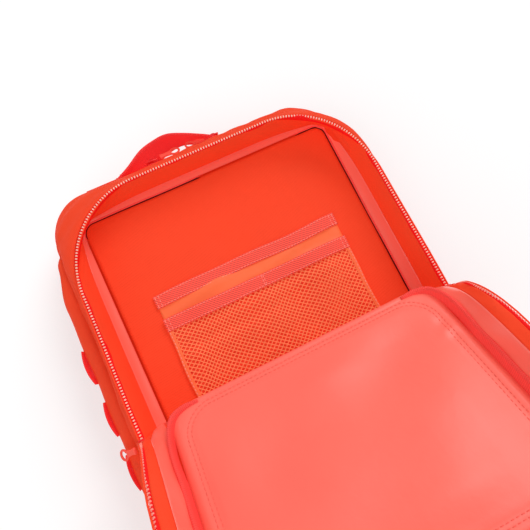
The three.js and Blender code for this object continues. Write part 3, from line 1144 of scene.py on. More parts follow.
@dataclass
class SubAssembly:
    """A part of the backpack that is built in the shop."""

    shop: Workshop

    @property
    def look(self) -> Finish:
        """The finishes."""
        return self.shop.finish

    @property
    def add(self) -> Callable[..., Thing]:
        """Adds a piece."""
        return self.shop.piece


# ---- the compartment


@dataclass
class Level:
    """A level of the flaring body wall: its half width, height and, where they differ, its end and radius.

    A level with a radius of its own for the right corner slumps there.
    """

    half: float
    z: float
    end: float | None = None
    radius: float | None = None
    right: float | None = None


@dataclass
class BodyWall:
    """The shape that the wall, its lining and the zip share."""

    floor_half: float = 140.0
    floor_length: float = 425.0
    floor_radius: float = 12.0
    flare: float = 20.0
    flare_end: float = 11.2
    rim_radius: float = 86.0
    split: float = -218.0
    taper: float = 2.6
    slump: float = 26.0

    def shape(self, level: Level) -> Triple:
        """How far a level reaches past the floor's ends, and its left and right corner radius."""
        lean = (level.half - self.floor_half) / self.flare
        end = self.flare_end * lean if level.end is None else level.end
        radius = self.floor_radius + (self.rim_radius - self.floor_radius) * lean
        radius = max(2.0, radius if level.radius is None else level.radius)
        return end, radius, radius if level.right is None else level.right

    def tapered(self, plan: Array, level: Level) -> Array:
        """The row at its height, drawn in a little towards the top."""
        lean = np.clip((level.half - self.floor_half) / self.flare, 0, 1)
        pull = self.taper * lean * smooth_step(plan[:, 1], self.split, -60)
        x = plan[:, 0] * (1 - pull / self.floor_half)
        if level.right is not None:
            depth = self.slump * smooth_step([35.0 - level.z], 0, 20) * smooth_step([level.half], 140, 165)
            x = x - depth * smooth_step(plan[:, 1], -120, -8) * smooth_step(x, 60, 150)
        return np.column_stack([x, plan[:, 1], np.full(len(plan), level.z)])

    def loop(self, level: Level) -> Array:
        """The level all the way round, anticlockwise from the bottom right corner."""
        end, radius, right = self.shape(level)
        low, half = -self.floor_length - end, level.half
        corners = [(half, low, radius), (half, end, right), (-half, end, radius), (-half, low, radius)]
        return self.tapered(filleted(corners, [110, 56, 110, 56], 26), level)

    def upper(self, level: Level) -> Array:
        """The level round the open half, from the split on the right to the split on the left."""
        end, radius, right = self.shape(level)
        return self.half_row(level, (level.half, end, right), (-level.half, end, radius))

    def lower(self, level: Level) -> Array:
        """The level round the closed half, from the split on the left to the split on the right."""
        end, radius, _ = self.shape(level)
        low = -self.floor_length - end
        return self.half_row(level, (-level.half, low, radius), (level.half, low, radius))

    def half_row(self, level: Level, *corners: Triple) -> Array:
        """The level from the split round two corners and back to the split."""
        ends = [(corner[0], self.split, 0) for corner in corners]
        return self.tapered(filleted([ends[0], *corners, ends[1]], [60, 60, 60, 1], 32, closed=False), level)

    def corner_share(self, loop: Array, reach: float = 45.0) -> Array:
        """1 at the plan corners of a row, falling to 0 away from them."""
        x, y = np.abs(loop[..., 0]), loop[..., 1]
        middle = -self.floor_length / 2
        far = np.hypot(x - self.floor_half, np.abs(y - middle) - self.floor_length / 2)
        return np.exp(-((far / reach) ** 2))


def refined(knots: Sequence[Level], rows: int) -> list[Level]:
    """More levels on a smooth profile through a few."""
    values = [(k.half, k.z, k.end, k.radius, k.radius if k.right is None else k.right) for k in knots]
    return [Level(*row) for row in curve_through(values, rows)]


@dataclass
class Compartment(SubAssembly):
    """The floor, the wall's lining and edge strip, and the outer shell."""

    wall: BodyWall

    def build(self) -> None:
        """Builds every piece of the open box."""
        self.floor()
        self.binding()
        self.lining()
        self.strip()
        self.shell()
        self.seams()

    def seam(self) -> Array:
        """The seam between lining and edge strip, which drops towards the floor at the corners."""
        high = self.wall.loop(Level(148.6, 15.5, 3.2, 30))
        low = self.wall.loop(Level(142.0, 4.0, 1.0, 15))
        share = self.wall.corner_share(high, 40)[:, None]
        return high + (low - high) * share

    def floor(self) -> None:
        """The woven floor, which dips to its seam, and a near-black strip under its edge: painted shade in
        the gap where the edge lifts.
        """
        plan = RoundedBox(139.0, -424.0, -0.9, 11, 11)
        x, y = plan.grid(3.2)
        dip = np.exp(-((plan.distance(x, y) / 1.2) ** 2)) * (0.3 + 0.7 * self.lifting(x, y))
        z = Ripple(11, 0.35, 150)(x, y) + Ripple(12, 0.10, 42)(x, y) - dip
        made = self.add("floor_lining", Sheet(xyz(x, y, z)), self.look.floor, "back_lining", thickness=1.2)
        # Painted shade: a near-black strip under the floor's edge, pushed out of sight except where the edge
        # lifts.
        rim = self.wall.loop(Level(139.2, -1.6, -0.8, 11.2))
        outward = facing_up(rim, True)
        rim = rim + outward * (6.0 * (1 - self.lifting(rim[:, 0], rim[:, 1])))[:, None]
        self.add("floor_seam_tape", strap_along(rim, outward, 5.0, 0.5, closed=True), self.look.seam_tape)

    @staticmethod
    def lifting(x: Array, y: Array) -> Array:
        """How far the floor's edge stands open: down the right side and along the left half of the top."""
        return np.maximum(smooth_step(x, 80, 125), smooth_step(y, -25, -5) * smooth_step(-x, -5, 15))

    def binding(self) -> None:
        """The thin bound edge over the floor seam, with a dark gap under it where it lifts."""
        middle = self.wall.loop(Level(140.4, 1.5, 0.4, 12.2))
        x, y, outward = middle[:, 0], middle[:, 1], facing_up(middle, True)
        closed = 1 - self.lifting(x, y)
        centre = middle - outward * (1.7 * closed)[:, None]
        centre[:, 2] += np.clip(Ripple(21, 0.5, 110)(x, y), -0.4, 0.4) - closed
        edge = sweep(centre, outward, ring_section(0.95, 8), closed=True)
        self.add("floor_binding_roll", edge, self.look.binding, "floor_binding")

    def band(self, first: Array, last: Array, rows: int, soft: Ripple, reach: float, pitch: float,
             depth: float) -> tuple[Sheet, Array]:
        """A band round the wall, and how far each point of it bows out.

        Args:
            first: Its lower row.
            last: Its upper row.
            rows: How many rows it is made of.
            soft: The waves of its belly.
            reach: How far its puckers run from a corner.
            pitch: From pucker to pucker.
            depth: Height of the puckers.
        Returns:
            The flat band and the heights.
        """
        sheet = Sheet(between(first, last, rows), ring=True).flipped()
        u, v = sheet.lengths()
        corner = self.wall.corner_share(sheet.points, reach)
        belly = np.sin(np.pi * v / v.max())
        waves = 1.4 + soft(sheet.points[..., 0], sheet.points[..., 1])
        return sheet, belly * (waves + corner * np.sin(2 * np.pi * u / pitch) * depth)

    def lining(self) -> None:
        """The coated lining of the wall, pinched where it turns the corners."""
        floor = self.wall.loop(Level(140.9, 1.4))
        sheet, lift = self.band(floor, self.seam(), 12, Ripple(31, 0.5, 85), 38, 11.5, 0.7)
        self.add("wall_lining", sheet.raised(-lift), self.look.wall, "gusset_lining", thickness=0.8)

    def strip(self) -> None:
        """The cloth edge strip between the lining and the zip."""
        edge = self.wall.loop(Level(158.4, 36.8))
        sheet, lift = self.band(self.seam(), edge, 14, Ripple(41, 0.4, 60), 55, 14, 0.4)
        self.add("edge_strip", sheet.raised(lift), self.look.strip, "gusset_strip", thickness=0.8)

    def shell(self) -> None:
        """The padded outer wall from the zip over the side to the back panel, with its lining side."""
        outer = [Level(162.4, 34.8, 12.4, 84, 86), Level(165.0, 33.2, 15.0, 78, 80),
                 Level(168.3, 25, 21.0, 62, 64), Level(171.0, 15, 26.5, 48, 52), Level(171.9, 8, 29, 44, 47),
                 Level(172.0, -4, 29, 42, 45), Level(171.0, -13, 28, 40, 43), Level(167.0, -20.2, 24, 36, 40),
                 Level(156, -21.2, 14, 26, 34), Level(138.5, -20.6, -1.5, 10, 20)]
        rows = np.stack([self.wall.loop(level) for level in refined(outer, 46)])
        sheet = Sheet(rows, ring=True).flipped()
        x, y, v = sheet.points[..., 0], sheet.points[..., 1], sheet.lengths()[1]
        side = np.exp(-(((v / v.max() - 0.22) / 0.2) ** 2))
        lift = side * (0.4 + Ripple(51, 0.9, 95)(x, y + 3 * v) + Ripple(52, 0.35, 34)(x + 2 * v, y))
        seam = np.exp(-(((v - 33) / 1.4) ** 2))
        lift = lift * (1 - seam) - 0.9 * seam
        self.add("outer_shell", sheet.raised(lift), self.look.shell, "side_shell", thickness=1.6)

    def seams(self) -> None:
        """Piping round the shell."""
        lines = ((Level(172.3, 4.0, 29.3, 43, 46), 0.8), (Level(168.2, -19.6, 25.2, 37, 41), 2.0))
        cords = [cord_along(self.wall.loop(level), radius, closed=True).mesh("piping")
                 for level, radius in lines]
        self.add("shell_piping", Workshop.joined("shell_piping", cords), self.look.webbing)


@dataclass
class BodyZip(SubAssembly):
    """The zip round the rim: open above the split, closed below it."""

    wall: BodyWall
    pitch: float = ZIP_PITCH
    teeth_half: float = 160.4
    teeth_z: float = 39.0

    def build(self) -> None:
        """Builds tape, teeth and the closed half."""
        self.tape()
        self.teeth()
        self.closed()

    def over(self, knots: Sequence[tuple[float, float]], rows: int, row: Callable[[Level], Array]) -> Sheet:
        """A tape that bends over the rim on a smooth profile through knots of half width and height."""
        levels = [Level(half, z, *self.wall.shape(Level(half, z))) for half, z in knots]
        return Sheet(np.stack([row(level) for level in refined(levels, rows)])).flipped()

    def tape(self) -> None:
        """The tape from the edge strip over the rim to the shell."""
        knots = [(158.0, 35.6), (158.4, 36.6), (158.8, 37.4), (159.6, 38.0), (160.8, 38.2), (162.6, 38.0),
                 (164.0, 36.8), (164.4, 34.6)]
        sheet = self.over(knots, 18, self.wall.upper).rippled(Ripple(61, 0.25, 30))
        self.add("rim_tape", sheet, self.look.zip_tape, "zipper_tape", thickness=0.9)
        edge = cord_along(self.wall.upper(Level(163.2, 38.3)), 0.8, 6)
        self.add("rim_edge", edge, self.look.strip, capped=True)

    def teeth(self) -> None:
        """The open half's row of teeth."""
        centres, along = stitch_places(self.wall.upper(Level(self.teeth_half, self.teeth_z)), self.pitch)
        mesh = beads("rim_teeth", centres, np.cross(along, UP), UP, (2.3, 1.5, 1.6))
        self.add("rim_teeth", mesh, self.look.teeth, "zipper_chain")

    def closed(self) -> None:
        """The tape and meshed teeth of the closed half."""
        knots = [(156.6, 36.0), (158.6, 37.6), (161, 38.4), (163.4, 38.2), (165.2, 36.6)]
        self.add("closed_zip_tape", self.over(knots, 8, self.wall.lower), self.look.zip_tape, "closed_zipper",
                 thickness=0.9)
        centres, along = stitch_places(self.wall.lower(Level(161.6, 39.4)), self.pitch / 2)
        mesh = meshed_teeth("closed_zip_teeth", centres, np.cross(along, UP), UP, 0.7, (3.0, 1.2, 1.5))
        self.add("closed_zip_teeth", mesh, self.look.teeth)


@dataclass
class InnerPockets(SubAssembly):
    """The slack cloth pocket and the net pocket on the floor."""

    half: float = 104.0
    low: float = -395.0
    cloth_top: float = -105.0
    net_top: float = -138.0
    tape_width: float = 14.0
    divider: float = 4.0
    net_pitch: tuple[float, float] = (5.4, 4.7)

    def build(self) -> None:
        """Builds both pockets and their tapes."""
        self.cloth_pocket()
        self.backing()
        self.net()
        self.hems()
        self.tapes()

    def cloth_height(self, x: Array, y: Array) -> Array:
        """How high the cloth pocket stands off the floor."""
        edge = smooth_step(self.half - np.abs(x), 0, 16) * smooth_step(y - self.low, 0, 25)
        slack = Ripple(71, 0.8, 46)
        near = np.exp(-(((y + 118) / 10) ** 2))
        pull = 0.9 * np.sin((x + 60) / 31) + 0.9 * np.sin((x * 0.32 - (y + 118) * 1.5) / 6.0)
        return 0.9 + edge * np.maximum(1.6 + slack(x * 0.5, y * 1.6) + pull * near, 0.2)

    def net_height(self, x: Array, y: Array) -> Array:
        """How high the net stands off the floor: two bellies with the divider between them."""
        side = smooth_step(self.half - np.abs(x), 0, 30) * smooth_step(y - self.low, 0, 40)
        seam = 1 - 0.75 * np.exp(-(((x - self.divider - (y + 138) * 0.05) / 11) ** 2))
        slack = Ripple(81, 0.9, 70)
        pressed = 1 - 0.6 * np.exp(-(((y + 172) / 26) ** 2))
        return self.cloth_height(x, y) + 1.5 + side * seam * np.maximum(1.6 + slack(x, y), 0) * pressed

    def cloth_pocket(self) -> None:
        """The slack cloth pocket."""
        made = self.add("document_pocket", self.lying(1, 0, self.cloth_top, 2.6, 0), self.look.nylon,
                        "rear_pocket", thickness=0.4)

    def backing(self) -> None:
        """A cloth under the net, darker than the pocket nylon and glowing less: painted shade of the net's
        shadow on the pocket.
        """
        sheet = self.lying(1.5, 0.5, self.net_top + 4, 3.0, 0.55)
        self.add("net_backing", sheet, self.look.backing, thickness=0.3)

    def lying(self, side: float, foot: float, top: float, step: float, lift: float) -> Sheet:
        """Cloth over the pocket's shape, drawn in at its sides and foot, up to a top edge."""
        x, y = RoundedBox(self.half - side, self.low + foot, top, 4, 1).grid(step)
        return Sheet(xyz(x, y, self.cloth_height(x, y) + lift))

    def net(self) -> None:
        """The net pocket as crossing strands."""
        across, along = self.net_pitch
        columns = round(2 * (self.half - 1.5) / across) * 2
        rows = round((self.net_top + 1 - self.low) / along) * 2
        xs = np.linspace(-self.half + 1.5, self.half - 1.5, columns + 1)
        ys = np.linspace(self.low, self.net_top + 1, rows + 1)
        number = -np.ones((rows + 1, columns + 1), int)
        points, edges = [], []
        for r in range(rows + 1):
            for c in range(r % 2, columns + 1, 2):
                number[r, c] = len(points)
                points.append((xs[c], ys[r], 0.0))
        for r in range(rows):
            for c in range(columns + 1):
                for other in (c - 1, c + 1):
                    if number[r, c] >= 0 and 0 <= other <= columns:
                        edges.append((number[r, c], number[r + 1, other]))
        flat = np.array(points)
        sway = Ripple(82, 1.2, 60)
        flat[:, 2] = self.net_height(flat[:, 0], flat[:, 1])
        flat[:, 0] += sway(flat[:, 0], flat[:, 1]) * smooth_step(self.half - np.abs(flat[:, 0]), 0, 20)
        mesh = self.strands("net_pocket", flat, np.array(edges), 0.5)
        self.add("net_pocket", mesh, self.look.net, "mesh_pocket")

    def hems(self) -> None:
        """The turned side edges of the net, each sewn down with one row."""
        bands, rows = [], []
        for side in (-1, 1):
            y = np.linspace(self.net_top, self.low + 3, 120)
            x = side * (self.half - 2.6) + Ripple(84, 0.5, 60)(y, y * 0)
            path = xyz(x, y, self.net_height(x, y) + 0.5)
            bands.append(strap_along(path, (1.0, 0, 0), 4.4, 0.8).mesh("hem", capped=True))
            rows.append((path + (side * 0.9, 0, 0.5), UP))
        self.add("net_hems", Workshop.joined("net_hems", bands), self.look.nylon, slot=Slot.NET)
        self.shop.thread("net_hem_stitching", rows, length=2.6, width=0.8)

    @staticmethod
    def strands(name: str, points: Array, edges: Array, radius: float) -> Mesh:
        """Thin flat-sided threads along edges.

        Args:
            name: The mesh's name.
            points: The knots.
            edges: Pairs of knots that a thread joins.
            radius: Half the thread's width.
        Returns:
            The mesh.
        """
        start, end = points[edges[:, 0]], points[edges[:, 1]]
        ahead = unit(end - start)
        side = unit(np.cross(ahead, UP))
        up = np.cross(side, ahead)
        offsets = [side * radius, up * radius * 0.8, -side * radius, -up * radius * 0.8]
        lift = ahead * radius * 0.4
        corners = np.stack([start - lift + o for o in offsets] + [end + lift + o for o in offsets], 1)
        pattern = np.array([*((k, (k + 1) % 4, (k + 1) % 4 + 4, k + 4) for k in range(4)),
                            (3, 2, 1, 0), (4, 5, 6, 7)])
        faces = (pattern[None] + np.arange(len(edges))[:, None, None] * 8).reshape(-1, 4)
        uv = np.tile(np.array([(0, 0), (0, 0.5), (5, 0.5), (5, 0)]) * METRES, (len(faces), 1))
        return mesh_of(name, corners, faces, uv, smooth=False)

    def tape(self, name: str, middle: float, node: str, height: Callable[[Array, Array], Array],
             seed: int, splits: Point) -> None:
        """One woven tape with its stitch rows and bar tacks.

        Args:
            name: The piece's name.
            middle: The y of its middle.
            node: The CAD node that it stands for.
            height: The height of what it lies on.
            seed: The seed of its waves.
            splits: The x of each bar tack besides its ends.
        """
        half = self.half
        x = np.linspace(-half, half, 110)
        y = middle + Ripple(seed + 1, 0.5, 120)(x, middle)
        path = xyz(x, y, height(x, y) + 0.9 + Ripple(seed, 0.35, 55)(x, y))
        band = strap_along(path, (0, 1.0, 0), self.tape_width, 1.1)
        self.add(name, band, self.look.tape, node, capped=True)
        edge = self.tape_width / 2
        rows = [(path + (0, shift, 0.62), UP) for shift in (edge - 1.5, 1.5 - edge)]
        for x in (-half + 2.2, -half + 6.5, half - 2.2, half - 6.5, *splits):
            middle = path[np.argmin(np.abs(path[:, 0] - x))]
            start, end = middle + (0, 1.2 - edge, 0.66), middle + (0, edge - 1.2, 0.66)
            rows.append((np.linspace(start, end, 12), UP))
        self.shop.thread(name + "_stitching", rows, length=2.6, gap=1.0, width=0.7)

    def tapes(self) -> None:
        """Both pockets' top tapes."""
        self.tape("document_pocket_tape", self.cloth_top + 0.5, "rear_pocket_tape", self.cloth_height, 91, ())
        self.tape("net_pocket_tape", self.net_top + 7, "mesh_pocket_tape", self.net_height, 93,
                  (self.divider, self.divider + 2))


# ---- the upper cover


@dataclass
class CoverShape:
    """The upper cover's outlines, in its own flat frame.

    Paths run from the fold on the right round the far end to the fold on the left. The height of a
    point is measured from the inner face, up when the cover lies open.
    """

    half: float = 128.0
    length: float = 198.0
    radius: float = 50.0
    inner_face: float = -7.5

    def space(self, points: Array) -> Array:
        """Turns x, distance from the fold and height to millimetres from the seam origin."""
        points = np.asarray(points, float)
        return DATUM.opened(xyz(points[..., 0], points[..., 1], self.inner_face - points[..., 2]))

    def path(self, start: Sequence[Point], half: float, height: float) -> Array:
        """A row that rises from the fold along given points and then runs level round the cover.

        Args:
            start: Points x, distance and height at the right end, before the level run.
            half: Half width of the level run.
            height: Height of the level run.
        Returns:
            The row's points.
        """
        grow = half - self.half
        far = self.length + grow
        radius = self.radius + 0.8 * grow
        begin = start[-1][1]
        lead = curve_through(start, 34)
        corners = [(half, begin, 0), (half, far, radius), (-half, far, radius), (-half, begin, 0)]
        plan = filleted(corners, [26, 46, 26, 1], 24, closed=False)
        level = xyz(plan[:, 0], plan[:, 1], height)
        return np.vstack([lead, level[1:-1], lead[::-1] * (-1, 1, 1)])


@dataclass
class UpperCover(SubAssembly):
    """The cover that folds open: padded panel, binding, gusset, edge strip, zip, fold lining and outer cloth.
    """

    shape: CoverShape
    seam_row: tuple = ((146, -25, -56), (143.5, -10, -37), (141.5, 3, -20), (140, 15, -5), (137.5, 28, 6),
                       (135.5, 42, 14), (134, 58, 18), (133, 76, 20.0))
    base_row: tuple = ((140.6, -36, -72), (138, -22, -48), (134.5, -7, -24), (131, 6, -9), (129.3, 20, -3),
                       (128.8, 34, -1.2), (128.6, 48, -0.6), (128.6, 76, -0.4))
    strip_row: tuple = ((155, -19, -47), (153, -5, -29), (150.5, 7, -13), (147.5, 18, 2), (144.5, 30, 13),
                        (142.8, 43, 21), (142.3, 58, 25.5), (142.4, 76, 27.0))
    zip_row: tuple = ((160, -13, -43), (157.5, -1, -26), (154, 9, -9), (150.5, 20, 6), (147.8, 32, 17),
                      (147, 45, 24.5), (147.6, 60, 28.2), (148.4, 76, 29.2))

    def build(self) -> None:
        """Builds the cover."""
        self.panel()
        self.bands()
        self.binding()
        self.fold()
        self.outer_face()

    def edge(self) -> RoundedBox:
        """The outline of the padded panel, just inside the binding."""
        return RoundedBox(self.shape.half - 2.2, -0.4, self.shape.length - 2.2, 15, self.shape.radius - 2)

    def inner_height(self, x: Array, v: Array) -> Array:
        """The padded inner face's height over the plan."""
        stitched = RoundedBox(112, 9, self.shape.length - 15, 24, 38)
        edge = self.edge()
        gap = stitched.distance(x, v)
        channel = np.exp(-((gap / 2.2) ** 2)) + np.exp(-(((gap - 3.6) / 1.8) ** 2)) * 0.6
        pad = 2.4 * smooth_step(-gap, 0, 34)
        tuck = np.exp(-(((x - 112) / 6) ** 2) - (((v - 47) / 11) ** 2)) * 0.9 * np.sin((v - 44) / 3.4)
        soft = Ripple(101, 1.5, 110, 6)
        diagonal = 1.6 * np.sin((x * 0.35 + v * 0.94) / 17 + 0.8) * np.exp(-(((v - 62) / 55) ** 2))
        roll = -2.6 * np.exp(-((edge.distance(x, v) / 3.2) ** 2))
        return 1.2 + pad - 0.9 * channel + tuck + (soft(x, v) + diagonal) * smooth_step(-gap, -4, 30) + roll

    def panel(self) -> None:
        """The padded panel: the coated inner face and its edge down to the outer face."""
        x, v = self.edge().grid(2.5)
        inner = Sheet(self.shape.space(xyz(x, v, self.inner_height(x, v)))).flipped()
        made = self.add("cover_lining", inner, self.look.flap, "cover_panel", body=Body.COVER,
                               thickness=3.0)
        rows = []
        for inset in (0.0, 3.4):
            line = RoundedBox(112 + inset, 9 - inset, self.shape.length - 15 + inset, 24 + inset, 38 + inset)
            x, v = line.outline(2.0).T
            path = self.shape.space(xyz(x, v, self.inner_height(x, v) + 0.25))
            rows.append((np.vstack([path, path[:1]]), self.shape.space(UP) - self.shape.space(np.zeros(3))))
        self.shop.thread("cover_stitching", rows, Body.COVER, look=self.look.dark_thread, length=2.7, gap=1.3)

    def band(self, name: str, first: Array, last: Array, rows: int, belly: float, seed: int, look: Look,
             node: str) -> None:
        """One band of the cover's side between two rows.

        Args:
            name: The piece's name.
            first: The row nearer the panel.
            last: The row nearer the zip.
            rows: How many rows it is made of.
            belly: How far it bows outward.
            seed: The seed of its waves.
            look: Its finish.
            node: The CAD node that it stands for.
        """
        sheet = Sheet(between(first, last, rows)).flipped()
        u, v = sheet.lengths()
        bow = np.sin(np.pi * v / v.max()) * (Ripple(seed, 0.55, 48)(u, v) - belly)
        self.across_fold(name, sheet.raised(bow), look, node, thickness=0.8)

    def across_fold(self, *piece: str | Sheet | Mesh | Look, thickness: float = 0.0,
                    capped: bool = False) -> None:
        """Adds a piece that rides on no body, with its place baked into its mesh."""
        made = self.add(*piece, body=None, thickness=thickness, capped=capped)
        start, end = (DATUM.metres(self.shape.space(np.array([0, v, 0.0]))) for v in (1.0, 14.0))
        tuple(start)
        tuple(end)
        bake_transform(made)

    def bands(self) -> None:
        """Gusset, edge strip, zip tape and teeth."""
        runs = ((self.base_row, 128.6, -0.4), (self.seam_row, 133.0, 20.0), (self.strip_row, 142.4, 27.0),
                (self.zip_row, 148.4, 29.2))
        base, seam, strip, edge = (self.shape.space(self.shape.path(*run)) for run in runs)
        seam = seam + (strip - seam) * 0.5
        strip = strip + (edge - strip) * 0.7
        inside = Sheet(np.stack([base, seam, strip, edge]))
        shell = inside.points - inside.normals() * 1.7
        skin = Sheet(np.stack([spaced(column, 16) for column in shell.swapaxes(0, 1)], 1))
        skin = skin.rippled(Ripple(114, 0.5, 60))
        self.across_fold("cover_outer_gusset", skin, self.look.shell, thickness=1.2)
        self.band("cover_side", base, seam, 14, 0.9, 111, self.look.wall, "cover_gusset")
        self.band("cover_edge_strip", seam, strip, 8, 0.6, 112, self.look.strip, "cover_strip")
        self.band("cover_zip_tape", strip, edge, 6, 0.2, 113, self.look.zip_tape, "cover_zipper")
        centres, along = stitch_places(edge, ZIP_PITCH)
        nearest = np.argmin(np.linalg.norm(centres[:, None] - edge[None], axis=2), axis=1)
        up = Sheet(np.stack([strip, edge])).normals()[0][nearest]
        mesh = beads("cover_teeth", centres, np.cross(along, up), up, (2.4, 1.5, 2.6))
        self.across_fold("cover_teeth", mesh, self.look.cover_teeth)
        rim = cord_along(edge + unit(edge - strip) * 1.9, 0.8, 6)
        self.across_fold("cover_rim_edge", rim, self.look.strip, capped=True)
        self.across_fold("cover_side_seam", cord_along(seam, 0.7, 6), self.look.binding, capped=True)

    def binding(self) -> None:
        """The ribbed binding that stands up round the panel with a gap beside it."""
        shape = self.shape
        lean = Ripple(121, 0.5, 70)
        start_low = ((97, 4.5, -5), (108, 5.5, -5), (118, 9, -5), (126, 20, -4.5), (129.0, 38, -4),
                     (128.0, 58, -3.5))
        start_high = ((98, 2, 0.5), (110, 2.5, 3), (121.5, 8.5, 5.5), (127.8, 22, 7.5), (129.6, 40, 8.5),
                      (129.2, 58, 9))
        low = shape.path(start_low, 127.4, -3.0)
        high = shape.path(start_high, 129.0, 9.0)
        rows = between(low, high, 7)
        rows[..., 2] += np.linspace(0, 1, 7)[:, None] * lean(rows[..., 0], rows[..., 1])
        sheet = Sheet(shape.space(rows)).flipped()
        self.add("cover_binding_fin", sheet, self.look.binding, "cover_binding",
                        body=Body.COVER, thickness=1.6)
        roll = cord_along(shape.space(rows[-1]), 1.5)
        self.add("cover_binding_roll", roll, self.look.binding, body=Body.COVER, capped=True)

    def fold(self) -> None:
        """The lining that rolls over the fold to the lower cover."""
        profile = curve_through([(-214, 67.2), (-210.5, 68.0), (-208.2, 71.0), (-207.0, 75.0), (-206.4, 78.4),
                                 (-207.2, 80.6), (-209.5, 81.4), (-213, 82.0)], 20)
        x = np.linspace(-124, 124, 90)
        tuck = 3.0 * (1 - smooth_step(124 - np.abs(x), 0, 22))
        soft = Ripple(131, 0.4, 70)(x, x * 0)
        sheet = Sheet(np.stack([xyz(x, y - tuck, z - tuck * 0.3 + 0.5 * soft) for y, z in profile]))
        made = self.add("fold_lining", sheet, self.look.flap, body=None, thickness=1.2)
        start, end = DATUM.place(0, -209, 67.5), DATUM.place(0, -206, 81)
        tuple(start)
        tuple(end)
        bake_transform(made)

    def outer_face(self) -> None:
        """The outer cloth of the cover."""
        plan = RoundedBox(self.shape.half + 3, 0.5, self.shape.length + 2.5, 14, self.shape.radius + 2)
        x, v = plan.grid(4)
        soft = Ripple(141, 0.5, 90)
        edge = np.exp(-((plan.distance(x, v) / 6) ** 2))
        z = 0.2 + soft(x, v) * (1 - edge) * 0.6 - edge * 1.6
        sheet = Sheet(DATUM.opened(xyz(x, v, z)))
        self.add("cover_outer_cloth", sheet, self.look.shell, body=Body.COVER, thickness=1.5)


# ---- pockets outside, lower cover


@dataclass
class BoxPocket(SubAssembly):
    """A gusseted outer pocket that gets deeper towards its bottom.

    Its plan is RoundedBox coordinates with y along the pocket, and its height comes from knots.
    """

    name: str
    plan: RoundedBox
    knots: Sequence[tuple[float, float]]
    space: Callable[[Array], Array]
    body: Body
    node: str
    seed: int

    def height(self, y: Array) -> Array:
        """The front's height over the base at a distance along the pocket."""
        at, high = zip(*sorted(self.knots))
        return np.interp(y, at, high)

    def build(self) -> None:
        """Builds front, gusset and piping."""
        x, y = self.plan.grid(3.2)
        far = -self.plan.distance(x, y)
        soft = Ripple(self.seed, 1.3, 75)
        crown = smooth_step(far, 0, 40) * (2.5 + soft(x, y)) - 1.5 * np.exp(-((far / 4) ** 2))
        front = Sheet(self.space(xyz(x, y, self.height(y) + crown)))
        made = self.add(self.name + "_front", front, self.look.shell, self.node, body=self.body,
                               thickness=1.4)
        edge = self.plan.outline(3.2)
        top = self.height(edge[:, 1])
        centre = np.array([0, (self.plan.low + self.plan.high) / 2])
        outward = unit(edge - centre)
        wave = Ripple(self.seed + 1, 0.8, 40)(edge[:, 0], edge[:, 1])
        rows = []
        for share in np.linspace(0, 1, 9):
            bow = math.sin(math.pi * share) * np.minimum(2.5, top * 0.06) * (1 + 0.4 * wave)
            rows.append(np.column_stack([edge + outward * bow[:, None], -0.5 + (top - 1.0) * share]))
        gusset = Sheet(self.space(np.stack(rows)), ring=True)
        self.add(self.name + "_gusset", gusset, self.look.shell, body=self.body, thickness=1.2)
        rim = self.space(np.column_stack([edge, top - 0.6]))
        up = unit(self.space(UP) - self.space(np.zeros(3)))
        cord = cord_along(rim, 1.6, closed=True, up=up)
        self.add(self.name + "_piping", cord, self.look.binding, body=self.body)


@dataclass
class LowerFront(SubAssembly):
    """The fixed lower cover with its gusset."""

    wall: BodyWall

    def build(self) -> None:
        """Builds panel, gusset and seam piping."""
        plan = RoundedBox(130.5, -412, -213.5, 44, 6)
        x, y = plan.grid(4)
        soft = Ripple(151, 0.5, 90)
        z = 74.0 + 0.5 * soft(x, y) - 1.4 * np.exp(-((plan.distance(x, y) / 5) ** 2))
        panel = Sheet(xyz(x, y, z))
        self.add("lower_cover_cloth", panel, self.look.shell, "lower_cover", thickness=6.0)
        knots = [Level(162.0, 38.8, 15.0, 60), Level(162.6, 45, 15.0, 60), Level(160.5, 53.5, 13.5, 58),
                 Level(155, 61.5, 8.0, 55), Level(147, 68.5, -0.5, 52), Level(137, 73, -9, 48),
                 Level(129.6, 74, -14.4, 44)]
        rows = np.stack([self.wall.lower(level) for level in refined(knots, 22)])
        sheet = Sheet(rows).flipped()
        wave = Ripple(152, 0.7, 55)
        self.add("lower_gusset", sheet.rippled(wave), self.look.shell, "lower_cover_gusset", thickness=1.6)
        path = self.wall.lower(Level(130.4, 74.4, -14.0, 44))
        self.add("lower_cover_piping", cord_along(path, 1.8), self.look.binding, capped=True)


@dataclass
class StraightZip(SubAssembly):
    """A straight closed zip: tape and meshed teeth along a line."""

    name: str
    start: Point
    end: Point
    up: Point
    width: float
    body: Body
    node: str
    droop: float = 0.0

    def build(self) -> None:
        """Builds tape and teeth."""
        path = np.linspace(np.array(self.start, float), np.array(self.end, float), 80)
        path[:, 1] -= self.droop * smooth_step(path[:, 0], 76, 120)
        up = unit(np.array(self.up, float))
        across = np.cross(up, unit(path[-1] - path[0]))
        tape = strap_along(path, across, self.width, 1.0)
        self.add(self.name + "_tape", tape, self.look.zip_tape, self.node, body=self.body, capped=True)
        centres, _ = stitch_places(path[1:-1] + up * 0.8, 1.5)
        mesh = meshed_teeth(self.name, centres, across, up, 0.6, (2.6, 1.2, 1.3))
        self.add(self.name + "_teeth", mesh, self.look.teeth, body=self.body)


# ---- sliders and pulls


